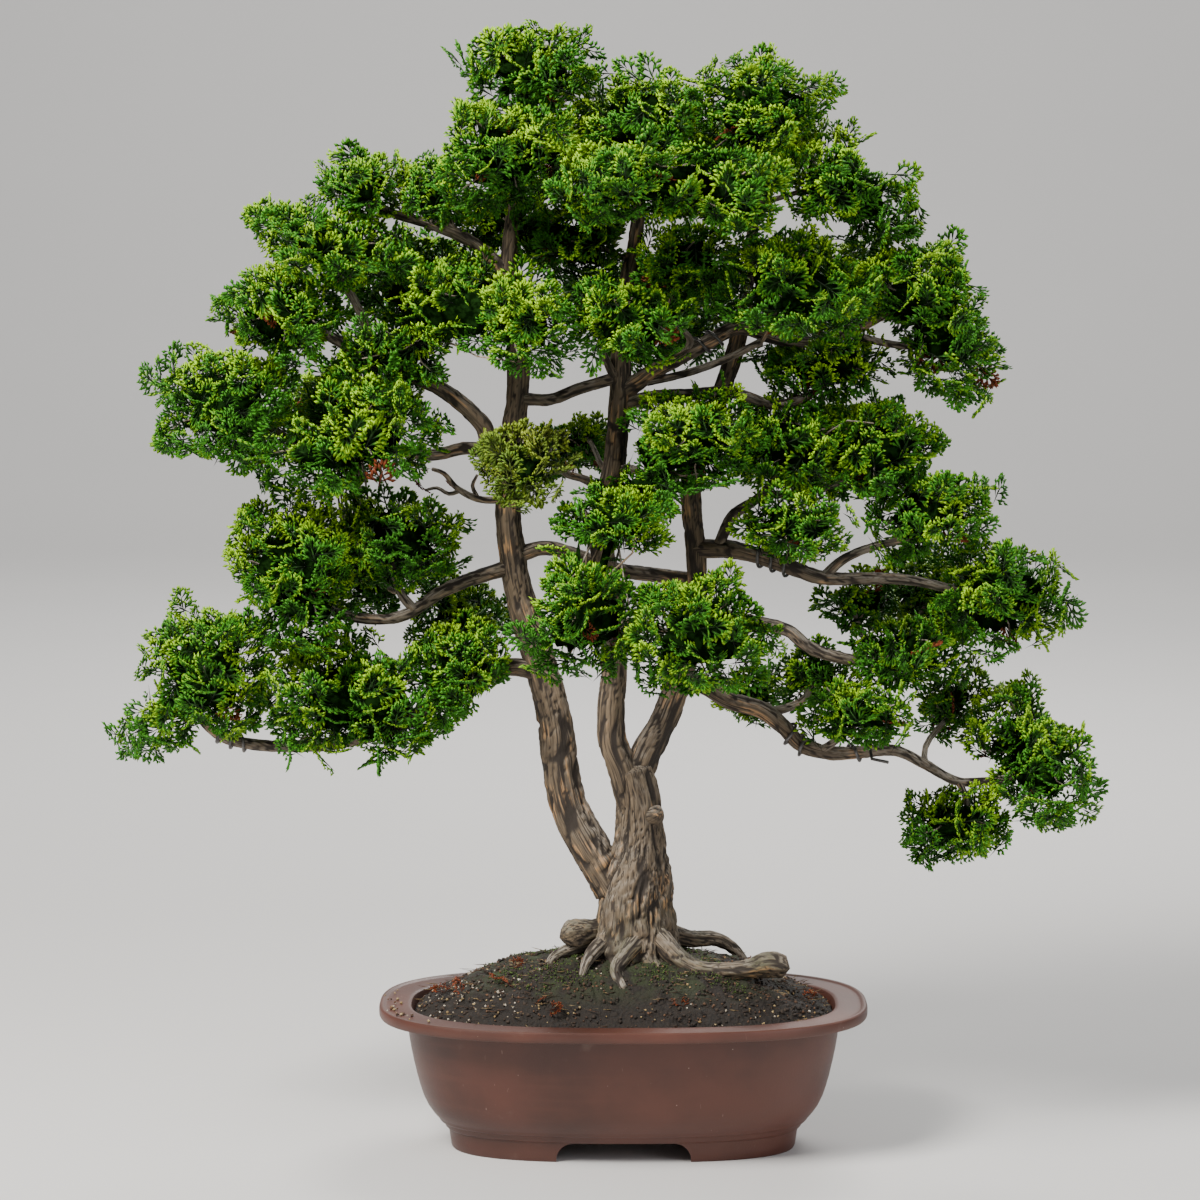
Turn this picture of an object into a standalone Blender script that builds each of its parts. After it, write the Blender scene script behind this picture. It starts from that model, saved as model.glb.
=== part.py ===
"""Hinoki cypress bonsai in a low oval clay pot, as plain faceted solids.

Lengths are in metres and +Z is up. Places along trunks, branches and foliage are written in
millimetres as (across, up, depth), where depth grows away from the front, and are first given as
they look from the front in the middle plane of the pot. The function seen() then slides each one
along its line of sight to its own depth. The pot's foot stands on z = 0.
"""

import math

import bmesh
import bpy
import numpy as np

MM = 0.001

# The front eye, which the places are seen from: across, depth and height in metres.
EYE = np.array((-0.020, -3.440, 0.860))

# The whole model moves by this, so that the middle of its outline stands over the origin.
STAND = (0.0155, -0.010, 0.0)

# Pot, in metres: half length and half width of the rim, and its height.
RIM_HALF_LENGTH = 0.210
RIM_HALF_WIDTH = 0.135
POT_SQUARENESS = 2.7
POT_SEGMENTS = 32
FLOOR_TOP = 0.026
FOOT_CUT_WIDTH = 0.114
FOOT_CUT_HEIGHT = 0.017
FOOT_CUT_CORNER = 0.015
DRAIN_RADIUS = 0.013
DRAIN_ACROSS = 0.075

# Pot section in millimetres: how far each point stands in from the rim's outline, and its height.
POT_SECTION = (
    (76, 17.6), (77, 0), (62.3, 0), (58, 17), (50.4, 26), (41.1, 38.5), (34.6, 55), (27, 88),
    (24, 115.5), (1, 115.5), (0, 117), (0, 124), (1, 125), (27, 125), (28, 123.5), (31.5, 100),
    (41.5, 55), (66, FLOOR_TOP / MM),
)

# Soil, in metres: where it meets the wall and how high the mound rises over that.
SOIL_EDGE = 0.116
SOIL_RISE = 0.054
SOIL_DOME_POWER = 0.85
SOIL_RIPPLE = 0.0016
SOIL_RINGS = 3
SOIL_GAP = 0.0008

# Clearance between pieces that touch, in metres.
GAP = 0.0003
WOOD_CLEARANCE = 1.4 * GAP

SCREEN_SIZE = 0.040
SCREEN_THICKNESS = 0.0010
WIRE_RADIUS = 0.0014
WIRE_SIDES = 4
WIRE_CLEARANCE = 0.0005
WIRE_STEPS = 7
WIRE_SLEEVE = 3.4 * WIRE_RADIUS

# How each kind of limb is drawn: its number of sides, the length of one step along it in metres
# and how deep its flutes are, as a share of its radius.
BASE_SHAPE = (12, 0.030, 0.055)
TRUNK_SHAPE = (8, 0.048, 0.04)
ROOT_SHAPE = (5, 0.030, 0.0)
BRANCH_SHAPE = (5, 0.042, 0.0)
TWIG_SIDES = 4
CURVE_POINTS = 8

# Trunks: (across, up, depth, radius) in millimetres.
BASE = ((10, 150, 0, 46), (9, 168, 0, 39), (10, 188, 0, 34), (10, 212, 0, 30.5), (12, 240, 0, 26),
        (14, 270, 0, 20.5), (13, 300, 0, 18), (7, 325, 0, 16))
LEFT_TRUNK = ((-8, 222, 0, 17), (-32, 262, 2, 16), (-46, 290, 5, 15.5), (-54, 325, 8, 15),
              (-57, 360, 10, 14.5), (-66, 400, 12, 13.5), (-78, 440, 14, 13), (-87, 470, 15, 12),
              (-94, 505, 15, 11), (-98, 545, 14, 10.5), (-97, 585, 12, 10), (-92, 625, 10, 9.5),
              (-89, 665, 8, 9), (-91, 705, 6, 8), (-96, 745, 4, 7.5), (-94, 790, 4, 6),
              (-86, 840, 2, 4.5), (-78, 900, 0, 3))
MIDDLE_TRUNK = ((8, 290, 0, 12), (-1, 325, -3, 12), (-10, 350, -4, 11.5), (-11, 375, -5, 11),
                (-9, 400, -6, 11), (-8, 430, -5, 10.5), (-10, 470, 0, 10), (-18, 510, 4, 10),
                (-17, 545, 6, 10), (-9, 580, 6, 9.5), (-6, 610, 5, 9), (-3, 645, 5, 9),
                (-2, 690, 8, 8), (2, 730, 12, 7.5), (10, 775, 14, 6), (14, 820, 12, 4.5),
                (14, 868, 8, 3))
RIGHT_TRUNK = ((10, 312, 0, 13), (20, 340, 4, 12.5), (32, 362, 8, 11.5), (41, 385, 12, 11),
               (50, 410, 16, 10.5), (58, 440, 18, 9.5), (62, 475, 18, 8.5), (62, 510, 17, 8.5),
               (58, 545, 16, 8.5), (58, 580, 16, 8), (70, 615, 17, 7.5), (84, 650, 18, 7.5),
               (96, 690, 20, 7), (104, 735, 22, 5.5), (109, 790, 18, 4.5), (112, 875, 10, 3))

# Branches, each from inside its trunk outwards.
BRANCHES = {
    "low_left": ((-68, 408, 12, 8), (-95, 413, 8, 7.5), (-118, 404, 8, 7), (-150, 386, 14, 6.5),
                 (-200, 360, 20, 6), (-250, 347, 20, 5.5), (-300, 345, 12, 5), (-340, 352, 4, 4.5),
                 (-362, 372, 0, 3.5), (-366, 396, 0, 2.5)),
    "left": ((-92, 500, 15, 7), (-125, 490, 8, 6), (-154, 478, 2, 5.5), (-185, 458, -4, 5),
             (-215, 454, -6, 4.5), (-250, 462, -6, 4), (-276, 482, -6, 3)),
    "left_fork": ((-178, 462, -4, 4.5), (-190, 478, 0, 3.5), (-198, 505, 4, 2.5)),
    "left_rising": ((-97, 588, 12, 8), (-112, 602, 4, 7.5), (-121, 622, -4, 7), (-150, 647, -12, 6.5),
                    (-182, 662, -16, 5.5), (-212, 672, -16, 5), (-240, 690, -12, 4.5),
                    (-265, 702, -8, 4), (-288, 712, -6, 3)),
    "left_rising_fork": ((-205, 670, -16, 4.5), (-216, 700, -14, 4), (-230, 730, -12, 3.5),
                         (-250, 756, -10, 2.6)),
    "left_level": ((-103, 596, 8, 6), (-132, 600, 8, 5.5), (-162, 594, 4, 5), (-195, 598, 0, 4.5),
                   (-230, 602, 2, 4), (-268, 600, 4, 3.6), (-300, 618, 2, 3.2), (-330, 632, 0, 2.5)),
    "left_bare": ((-97, 557, 12, 3.2), (-120, 556, 0, 3), (-140, 565, -8, 2.6), (-152, 578, -12, 2),
                  (-162, 582, -14, 1.6)),
    "left_top": ((-96, 746, 4, 6), (-115, 764, 2, 5.5), (-138, 779, 0, 5), (-168, 790, 0, 4.2),
                 (-195, 798, 0, 3.6), (-218, 810, 0, 2.6)),
    "left_top_fork": ((-140, 780, 0, 3.6), (-150, 796, 2, 3), (-158, 810, 4, 2.4)),
    "cross_high": ((-89, 642, 9, 5.5), (-62, 641, 2, 5), (-38, 650, 0, 5), (-4, 660, 5, 5)),
    "cross_low": ((-92, 508, 15, 7), (-68, 515, 26, 6.5), (-45, 510, 32, 6.5), (-10, 497, 34, 6.5),
                  (28, 492, 30, 6), (58, 488, 20, 6)),
    "cross_twig": ((-16, 560, 6, 4), (-30, 572, -6, 3.6), (-48, 578, -16, 3), (-56, 586, -26, 2.2)),
    "right_bow": ((-8, 582, 6, 4), (8, 582, -6, 3.6), (28, 573, -14, 3.4), (46, 576, -18, 3),
                  (56, 592, -26, 2.4)),
    "right_level": ((60, 514, 17, 8), (88, 514, 10, 7.5), (112, 509, 2, 7), (148, 496, -6, 6.5),
                    (172, 489, -10, 6), (205, 489, -10, 5), (240, 488, -8, 4.4), (280, 480, -4, 3.8),
                    (312, 477, 0, 2.8)),
    "right_level_fork": ((170, 490, -10, 4.5), (188, 506, -12, 4), (212, 516, -14, 3.6),
                         (240, 524, -12, 3.2), (258, 540, -10, 2.4)),
    "right_inner": ((80, 515, 12, 5), (92, 542, 2, 4.6), (112, 556, -6, 4), (128, 572, -10, 3.4),
                    (142, 592, -12, 2.6)),
    "right_inner_fork": ((118, 560, -8, 3.6), (150, 562, -14, 3.2), (180, 570, -16, 3),
                         (208, 588, -14, 2.4)),
    "right_arm": ((0, 636, 5, 6), (24, 643, 0, 5.6), (55, 645, -4, 5.2), (90, 647, -2, 5),
                  (125, 637, 0, 4.4), (152, 642, 2, 3.6), (174, 656, 4, 2.6)),
    "right_climb": ((0, 648, 5, 7.5), (24, 664, -2, 7), (46, 676, -6, 6.5), (72, 690, -6, 6),
                    (98, 702, 0, 6), (130, 692, 2, 5), (165, 690, 0, 4.4), (196, 700, -2, 4),
                    (222, 714, -4, 3.4), (240, 728, -4, 2.6)),
    "right_climb_fork": ((188, 698, -2, 3.6), (214, 690, -6, 3.2), (240, 686, -8, 3),
                         (276, 684, -8, 2.4)),
    "right_slender": ((20, 656, -2, 3.6), (55, 664, -12, 3.2), (88, 676, -14, 3), (116, 690, -8, 3.2)),
    "right_bare": ((52, 680, -6, 3.4), (56, 692, -14, 3), (44, 704, -20, 2.4), (34, 716, -24, 1.6)),
    "right_low": ((60, 462, 18, 6.5), (92, 455, 10, 6.2), (118, 450, 4, 6), (140, 444, 0, 5.6),
                  (158, 430, -4, 5.4), (185, 421, -6, 5), (212, 418, -6, 4), (238, 424, -6, 2.8)),
    "right_lowest": ((46, 402, 16, 9), (68, 398, 6, 8), (92, 384, -4, 7.5), (118, 376, -8, 7),
                     (136, 362, -10, 7), (152, 346, -10, 6.8), (176, 339, -8, 6.2), (205, 340, -6, 5.4),
                     (232, 341, -4, 4.8), (258, 329, -2, 4.4), (284, 315, 0, 4), (312, 315, 2, 3.6),
                     (340, 320, 2, 3), (362, 326, 2, 2.4)),
    "right_lowest_rise": ((122, 374, -8, 4), (140, 378, 4, 3.6), (154, 386, 12, 3),
                          (162, 402, 16, 2.4)),
    "right_lowest_front": ((168, 341, -9, 3.6), (184, 352, -22, 3), (200, 366, -34, 2.4)),
    "right_lowest_drop": ((286, 315, 0, 3), (292, 302, -4, 2.8), (295, 284, -6, 2.2)),
    "bare_stub": ((-5, 655, 5, 4), (-12, 668, -2, 3.6), (-18, 682, -6, 3)),
    "cut_knob": ((14, 282, -6, 9), (24, 285, -12, 8.5), (31, 287, -16, 7)),
}

# Roots, each from inside the base outwards and down into the soil.
ROOTS = {
    "long_root": ((22, 188, -10, 11), (34, 174, -24, 10), (48, 160, -33, 9), (66, 151, -38, 8),
                  (88, 150, -40, 7), (108, 152, -41, 8), (126, 155, -42, 11), (138, 153, -42, 9)),
    "front_root": ((18, 184, -12, 9), (8, 172, -32, 8), (-1, 160, -42, 6.5), (-6, 149, -52, 5.5),
                   (0, 134, -66, 4)),
    "left_stub": ((-18, 186, -6, 9), (-34, 184, -14, 10), (-44, 182, -20, 11.5), (-51, 180, -23, 7)),
    "left_root": ((-14, 182, -8, 8), (-36, 172, -16, 6), (-56, 164, -20, 4.5), (-66, 152, -22, 3)),
    "near_left_root": ((-10, 180, -12, 8), (-24, 168, -34, 6), (-32, 156, -44, 4), (-36, 144, -50, 2.5)),
    "right_back_root": ((34, 184, 12, 9), (58, 178, 26, 7), (78, 178, 34, 6), (94, 170, 40, 5),
                        (104, 158, 42, 4)),
    "back_root": ((10, 184, 18, 9), (4, 170, 46, 7), (-4, 158, 66, 5), (-10, 146, 80, 3.5)),
    "back_left_root": ((-12, 182, 14, 8), (-36, 170, 30, 6), (-60, 156, 44, 4), (-76, 146, 52, 2.5)),
}

# Training wire: the branch it winds round, the share of the branch's length where it starts and
# ends, its turns, and the places in millimetres that a loose end runs on to.
WIRES = {
    "wire_right_lowest": ("right_lowest", 0.305, 0.385, 2.2, ()),
    "wire_right_end": ("right_lowest", 0.48, 0.535, 1.4, ((212, 334, -20), (226, 331, -28))),
    "wire_right_level": ("right_level", 0.20, 0.335, 3.0, ()),
    "wire_right_climb": ("right_climb", 0.27, 0.36, 2.0, ()),
    "wire_low_left": ("low_left", 0.78, 0.865, 2.6, ()),
}

# Foliage: each pad's twig as (branch or trunk, share of its length), or None where a branch ends
# inside it, then its clumps as (across, up, depth, half across, half up, half deep) in millimetres.
PADS = {
    "apex": (None, (-77, 914, -4, 52, 37, 48)),
    "crown_left": (("left_trunk", 0.86), (-104, 848, -38, 52, 42, 46)),
    "crown_middle": (None, (14, 876, -6, 56, 39, 54)),
    "crown_right": (None, (112, 884, -4, 58, 41, 56)),
    "crown_front": (("middle_trunk", 0.86), (2, 822, -86, 52, 30, 40), (86, 818, -66, 44, 34, 42)),
    "crown_back": (("left_trunk", 0.83), (-40, 846, 68, 62, 40, 54), (78, 836, 76, 62, 42, 56)),
    "right_shoulder": (("right_trunk", 0.84), (172, 832, -14, 34, 36, 44), (217, 801, -2, 29, 32, 36)),
    "right_upper": (("right_trunk", 0.72), (140, 738, -46, 56, 40, 46)),
    "right_tier": (None, (250, 738, -4, 46, 33, 46), (284, 686, -6, 42, 40, 42)),
    "right_under_tier": (None, (178, 668, 2, 50, 27, 44)),
    "heart_left": (("middle_trunk", 0.78), (-42, 772, 16, 40, 30, 44), (-110, 794, 26, 36, 24, 40)),
    "heart_middle": (("middle_trunk", 0.66), (6, 706, -44, 42, 32, 36)),
    "heart_right": (("right_trunk", 0.74), (54, 754, -22, 42, 36, 44)),
    "left_top": (None, (-225, 820, 0, 33, 27, 38)),
    "left_top_inner": (None, (-164, 814, 4, 32, 30, 34)),
    "left_upper": (None, (-250, 770, -10, 70, 36, 52)),
    "left_upper_low": (None, (-294, 716, -6, 46, 38, 48)),
    "left_inner_upper": (("left_trunk", 0.64), (-80, 706, -52, 36, 36, 38), (-148, 722, -28, 33, 36, 40),
                         (-204, 676, -16, 40, 28, 40)),
    "left_level_end": (None, (-342, 636, -2, 54, 46, 50)),
    "left_level_low": (("left_level", 0.45), (-210, 622, -34, 42, 40, 42), (-272, 590, -22, 46, 32, 42)),
    "left_middle": (None, (-284, 504, -6, 46, 52, 46), (-276, 444, -20, 34, 24, 34)),
    "left_middle_inner": (None, (-198, 522, 4, 50, 38, 46)),
    "low_left_end": (None, (-358, 412, -2, 50, 50, 48), (-411, 362, -4, 25, 22, 26)),
    "low_left_middle": (("low_left", 0.5), (-262, 392, -8, 46, 46, 46), (-192, 384, -12, 46, 46, 44)),
    "low_left_near": (("low_left", 0.16), (-143, 412, -14, 34, 38, 36)),
    "olive_front": (("left_trunk", 0.53), (-87, 586, -46, 31, 32, 30)),
    "behind_middle": (("middle_trunk", 0.53), (-40, 602, 74, 32, 22, 34)),
    "right_of_middle": (("right_trunk", 0.50), (62, 608, -44, 46, 38, 42), (16, 560, -26, 30, 22, 32)),
    "front_middle": (("middle_trunk", 0.24), (-28, 456, -74, 46, 48, 44), (-6, 541, -62, 42, 24, 36)),
    "front_right": (("right_trunk", 0.22), (62, 441, -86, 52, 46, 46)),
    "behind_left": (("left_trunk", 0.36), (-140, 458, 76, 38, 36, 42)),
    "right_inner": (None, (144, 602, -14, 46, 36, 44), (216, 598, -10, 48, 38, 44)),
    "right_inner_low": (("right_level", 0.39), (148, 535, -42, 40, 27, 36)),
    "right_level_rise": (None, (266, 546, -8, 46, 38, 44)),
    "right_level_end": (None, (326, 476, 0, 50, 46, 48)),
    "right_small": (("right_low", 0.75), (206, 468, 32, 28, 20, 28)),
    "right_low_end": (None, (246, 425, -6, 46, 30, 42)),
    "right_low_inner": (None, (163, 406, 22, 30, 24, 32)),
    "right_lowest_front": (None, (204, 373, -38, 40, 24, 34)),
    "right_lowest_back": (("right_lowest", 0.68), (288, 380, 40, 24, 27, 32)),
    "right_lowest_end": (None, (370, 322, 0, 34, 48, 42), (334, 368, 12, 34, 32, 36)),
    "right_drop": (None, (291, 276, -6, 38, 34, 34)),
    "behind_right_low": (("right_lowest", 0.13), (112, 388, 60, 22, 19, 28)),
    "back_upper_left": (("left_trunk", 0.7), (-170, 742, 74, 62, 38, 58)),
    "back_upper_right": (("right_trunk", 0.68), (180, 736, 76, 60, 38, 58)),
    "back_upper_middle": (("middle_trunk", 0.7), (22, 716, 84, 62, 40, 60)),
    "back_left": (("left", 0.6), (-230, 500, 70, 50, 36, 54), (-236, 640, 74, 50, 34, 54)),
    "back_right": (("right_trunk", 0.48), (170, 600, 76, 62, 36, 58)),
    "back_low_right": (("right_level", 0.62), (268, 474, 70, 46, 32, 50)),
}

# How much farther from the middle plane the clumps lie than listed, how much deeper they are, how
# much farther their fans reach than the listed half sizes, and how much nearer they stand to the
# upright through CANOPY_MIDDLE in return, in millimetres.
DEPTH_SPREAD = 1.55
CANOPY_MIDDLE = -10
DRAWN_IN = 0.975
DEEPER = 1.15
FULLER = 1.42

# A clump's shape: how many fans of leafy spray stand out of a clump of this half size in metres,
# the tips of one fan, the angle that it spreads over, and how deep its notches and core lie.
FANS_AT_SIZE = (6, 0.067)
FAN_GROWTH = 1.3
FEWEST_FANS = 5
FAN_TIPS = 4
FAN_SPREAD = math.radians(66)
FAN_HALF_THICKNESS = math.radians(17)
FAN_DRIFT = 0.2
FAN_ROLL = 0.55
TIP_REACH = (0.88, 1.0)
NOTCH_REACH = (0.74, 0.82)
CORE_REACH = (0.58, 0.68)
PRESSED_REACH = 0.55
CLOSEST_POINTS = math.radians(6.5)
CLUMP_LINK_RADIUS = 0.006
TWIG_RADII = (3.4, 2.6, 1.9)
TWIG_RISE = 0.010


def clear_scene():
    for item in list(bpy.data.objects):
        bpy.data.objects.remove(item, do_unlink=True)


def seen(place):
    """The metre position of a millimetre place, slid along its line of sight to its depth."""
    across, up, depth = (value * MM for value in place)
    scale = (depth - EYE[1]) / -EYE[1]
    return np.array((EYE[0] + (across - EYE[0]) * scale, depth, EYE[2] + (up - EYE[2]) * scale))


def make_material(name, colour, roughness):
    material = bpy.data.materials.new(name)
    material.use_nodes = True
    shader = material.node_tree.nodes["Principled BSDF"]
    shader.inputs["Base Color"].default_value = (*colour, 1.0)
    shader.inputs["Roughness"].default_value = roughness
    material.diffuse_color = (*colour, 1.0)
    return material


def make_object(name, vertices, faces):
    """A closed mesh object with its faces turned outwards."""
    work = bmesh.new()
    corners = [work.verts.new(vertex) for vertex in vertices]
    for face in faces:
        work.faces.new([corners[index] for index in face])
    bmesh.ops.recalc_face_normals(work, faces=work.faces)
    return object_from(name, work)


def object_from(name, work):
    mesh = bpy.data.meshes.new(name)
    work.to_mesh(mesh)
    work.free()
    item = bpy.data.objects.new(name, mesh)
    bpy.context.scene.collection.objects.link(item)
    return item


def finish_object(item, material, stand, sharp_degrees=40):
    """Gives a finished piece its material, smooth shading and its place on the stand."""
    item.data.materials.clear()
    item.data.materials.append(material)
    item.data.shade_smooth()
    item.data.set_sharp_from_angle(angle=math.radians(sharp_degrees))
    item.parent = stand
    return item


def apply_modifiers(item):
    """Replaces the object's mesh by its evaluated one and drops the modifiers."""
    bpy.context.view_layer.update()
    graph = bpy.context.evaluated_depsgraph_get()
    mesh = bpy.data.meshes.new_from_object(item.evaluated_get(graph))
    item.modifiers.clear()
    item.data = mesh


def combine(item, others, operation, solver="MANIFOLD"):
    """One Boolean of the object with a list of others, which are removed once it is applied.

    The manifold solver joins this many limbs and clumps in seconds, where the exact one takes
    minutes. The pot and the screens, which have few tools and flat faces, use the exact one.
    """
    group = bpy.data.collections.new("tools")
    bpy.context.scene.collection.children.link(group)
    for other in others:
        for owner in list(other.users_collection):
            owner.objects.unlink(other)
        group.objects.link(other)
    boolean = item.modifiers.new(operation.lower(), "BOOLEAN")
    boolean.operation = operation
    boolean.solver = solver
    boolean.operand_type = "COLLECTION"
    boolean.collection = group
    apply_modifiers(item)
    for other in others:
        bpy.data.objects.remove(other, do_unlink=True)
    bpy.data.collections.remove(group)


def keep_largest_body(item):
    """Drops loose scraps, so that the piece is one body."""
    work = bmesh.new()
    work.from_mesh(item.data)
    bmesh.ops.remove_doubles(work, verts=work.verts, dist=2e-7)
    work.verts.ensure_lookup_table()
    unseen = set(work.verts)
    bodies = []
    while unseen:
        body = {unseen.pop()}
        edge_of = list(body)
        while edge_of:
            vertex = edge_of.pop()
            for edge in vertex.link_edges:
                other = edge.other_vert(vertex)
                if other not in body:
                    body.add(other)
                    edge_of.append(other)
        unseen -= body
        bodies.append(body)
    bodies.sort(key=len)
    for body in bodies[:-1]:
        bmesh.ops.delete(work, geom=list(body), context="VERTS")
    work.to_mesh(item.data)
    work.free()


def smooth_stations(places, step):
    """Even steps along a Catmull-Rom curve through the places: rows of x, y, z, radius."""
    knots = np.array([(*seen(place[:3]), place[3] * MM) for place in places])
    ends = np.vstack((2 * knots[0] - knots[1], knots, 2 * knots[-1] - knots[-2]))
    rows = []
    for before, start, end, after in zip(ends, ends[1:], ends[2:], ends[3:]):
        share = np.arange(CURVE_POINTS)[:, None] / CURVE_POINTS
        rows.append(0.5 * (2 * start + (end - before) * share
                           + (2 * before - 5 * start + 4 * end - after) * share ** 2
                           + (3 * start - before - 3 * end + after) * share ** 3))
    rows = np.vstack((*rows, knots[-1:]))
    count = max(2, round(lengths_along(rows[:, :3])[-1] / step))
    return np.array([station_at(rows, k / count) for k in range(count + 1)])


def lengths_along(points):
    return np.concatenate(([0], np.cumsum(np.linalg.norm(np.diff(points, axis=0), axis=1))))


def station_at(stations, share):
    """The row of x, y, z, radius at a share of the limb's length."""
    lengths = lengths_along(stations[:, :3])
    return np.array([np.interp(share * lengths[-1], lengths, column) for column in stations.T])


def frames_along(points):
    """Tangent, side and normal at each point, carried along without twist."""
    tangents = np.gradient(points, axis=0)
    tangents /= np.linalg.norm(tangents, axis=1)[:, None]
    seed = np.array((0.0, 1.0, 0.0)) if abs(tangents[0][1]) < 0.8 else np.array((1.0, 0.0, 0.0))
    sides = []
    for tangent in tangents:
        seed = seed - tangent * seed.dot(tangent)
        seed = seed / np.linalg.norm(seed)
        sides.append(seed)
    sides = np.array(sides)
    return tangents, sides, np.cross(tangents, sides)


def tube(name, stations, sides, grow=0.0, flutes=0.0):
    """A closed tube through rows of x, y, z, radius, with flutes as a share of the radius."""
    points = stations[:, :3].copy()
    lengths = lengths_along(points)
    tangents, across, normal = frames_along(points)
    points[0] -= tangents[0] * grow
    points[-1] += tangents[-1] * grow
    angles = np.arange(sides) * 2 * math.pi / sides
    wave = (np.cos(5 * angles[None] + lengths[:, None] * 22)
            + 0.7 * np.cos(3 * angles[None] - lengths[:, None] * 31))
    radii = stations[:, 3:4] * (1 + flutes * wave) + grow
    ring = (points[:, None] + radii[..., None] * (np.cos(angles)[None, :, None] * across[:, None]
                                                  + np.sin(angles)[None, :, None] * normal[:, None]))
    count = len(points)
    faces = [tuple(range(sides))[::-1], tuple((count - 1) * sides + k for k in range(sides))]
    for row in range(count - 1):
        for k in range(sides):
            a, b = row * sides + k, row * sides + (k + 1) % sides
            faces.extend(((a, b, b + sides), (a, b + sides, a + sides)))
    return make_object(name, ring.reshape(-1, 3), faces)


def oval(inset, height, segments=POT_SEGMENTS):
    """One ring of the pot: the rim's squared oval moved in by the inset, in metres."""
    angles = (np.arange(segments) + 0.5) * 2 * math.pi / segments
    power = 2 / POT_SQUARENESS
    x = (RIM_HALF_LENGTH - inset) * np.sign(np.cos(angles)) * np.abs(np.cos(angles)) ** power
    y = (RIM_HALF_WIDTH - inset) * np.sign(np.sin(angles)) * np.abs(np.sin(angles)) ** power
    return np.column_stack((x, y, np.full(segments, height)))


def stack_rings(name, rings):
    """A closed body through a list of rings with the same number of points, each end a cap."""
    segments = len(rings[0])
    last = (len(rings) - 1) * segments
    faces = [tuple(range(segments)), tuple(last + k for k in range(segments))[::-1]]
    for row in range(len(rings) - 1):
        for k in range(segments):
            a, b = row * segments + k, row * segments + (k + 1) % segments
            faces.extend(((a, b, b + segments), (a, b + segments, a + segments)))
    return make_object(name, np.vstack(rings), faces)


def upright_cutter(name, radius, low, high, across, sides=10):
    angles = np.arange(sides) * 2 * math.pi / sides
    ring = np.column_stack((across + radius * np.cos(angles), radius * np.sin(angles)))
    rows = [np.column_stack((ring, np.full(sides, height))) for height in (high, low)]
    return stack_rings(name, rows)


def foot_cutter():
    """The arch between the two feet: a flat top with round corners, run through front and back."""
    half, corner = FOOT_CUT_WIDTH / 2, FOOT_CUT_CORNER
    turn = np.linspace(0, math.pi / 2, 4)
    right = np.column_stack((half - corner + corner * np.cos(turn),
                             FOOT_CUT_HEIGHT - corner + corner * np.sin(turn)))
    outline = np.vstack(((half, -0.002), right, right[::-1] * (-1, 1), (-half, -0.002)))
    rows = [np.column_stack((outline[:, 0], np.full(len(outline), depth), outline[:, 1]))
            for depth in (RIM_HALF_WIDTH + 0.01, -RIM_HALF_WIDTH - 0.01)]
    return stack_rings("foot_cutter", rows)


def make_pot():
    pot = stack_rings("pot", [oval(inset * MM, height * MM) for inset, height in POT_SECTION])
    holes = [upright_cutter("drain_cutter", DRAIN_RADIUS, 0.004, FLOOR_TOP + 0.01, side * DRAIN_ACROSS)
             for side in (-1, 1)]
    combine(pot, [foot_cutter(), *holes], "DIFFERENCE", "EXACT")
    return pot


def wall_inset(height):
    """How far the pot's inner wall stands in from the rim's outline at a height, in metres."""
    rows = sorted((up, inset) for inset, up in POT_SECTION[-4:])
    return float(np.interp(height / MM, *zip(*rows))) * MM


def soil_height(x, y, edge_x, edge_y):
    """Height of the mound: a dome over the squared oval, with low ripples."""
    spread = (np.abs(x / edge_x) ** POT_SQUARENESS + np.abs(y / edge_y) ** POT_SQUARENESS)
    rho = spread ** (1 / POT_SQUARENESS)
    dome = np.clip(1 - rho ** 2, 0, 1) ** SOIL_DOME_POWER
    ripple = SOIL_RIPPLE * np.sin(x * 95 + 1.3) * np.cos(y * 120 - 0.4) * np.clip(1 - rho ** 6, 0, 1)
    return SOIL_EDGE + SOIL_RISE * dome + ripple


def make_soil(wood_cutter):
    """The mound and the soil below it, which fills the pot but for a small gap to its wall."""
    bottom = FLOOR_TOP + SCREEN_THICKNESS + 2 * GAP
    heights = (bottom, 0.055, 0.100, SOIL_EDGE)
    rings = [oval(wall_inset(height) + SOIL_GAP, height) for height in heights]
    edge = rings[-1]
    for step in range(1, SOIL_RINGS):
        ring = edge * (1 - step / SOIL_RINGS)
        ring[:, 2] = soil_height(ring[:, 0], ring[:, 1], edge[:, 0].max(), edge[:, 1].max())
        rings.append(ring)
    soil = stack_rings("soil", rings)
    combine(soil, [wood_cutter], "DIFFERENCE")
    keep_largest_body(soil)
    return soil


def make_screen(name, across):
    """A drain screen: a thin square sheet with four windows, laid over one drain hole."""
    half, bar = SCREEN_SIZE / 2, SCREEN_SIZE / 10
    low = FLOOR_TOP + GAP
    window = half - 1.5 * bar
    sheet = box(name, (across - half, -half, low), (across + half, half, low + SCREEN_THICKNESS))
    holes = []
    for x in (-half + bar, bar / 2):
        for y in (-half + bar, bar / 2):
            near = (across + x, y, low - SCREEN_THICKNESS)
            far = (across + x + window, y + window, low + 2 * SCREEN_THICKNESS)
            holes.append(box("window", near, far))
    combine(sheet, holes, "DIFFERENCE", "EXACT")
    return sheet


def box(name, low, high):
    ring = np.array([(high[0], high[1]), (low[0], high[1]), (low[0], low[1]), (high[0], low[1])])
    rows = [np.column_stack((ring, np.full(4, height))) for height in (high[2], low[2])]
    return stack_rings(name, rows)


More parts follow.
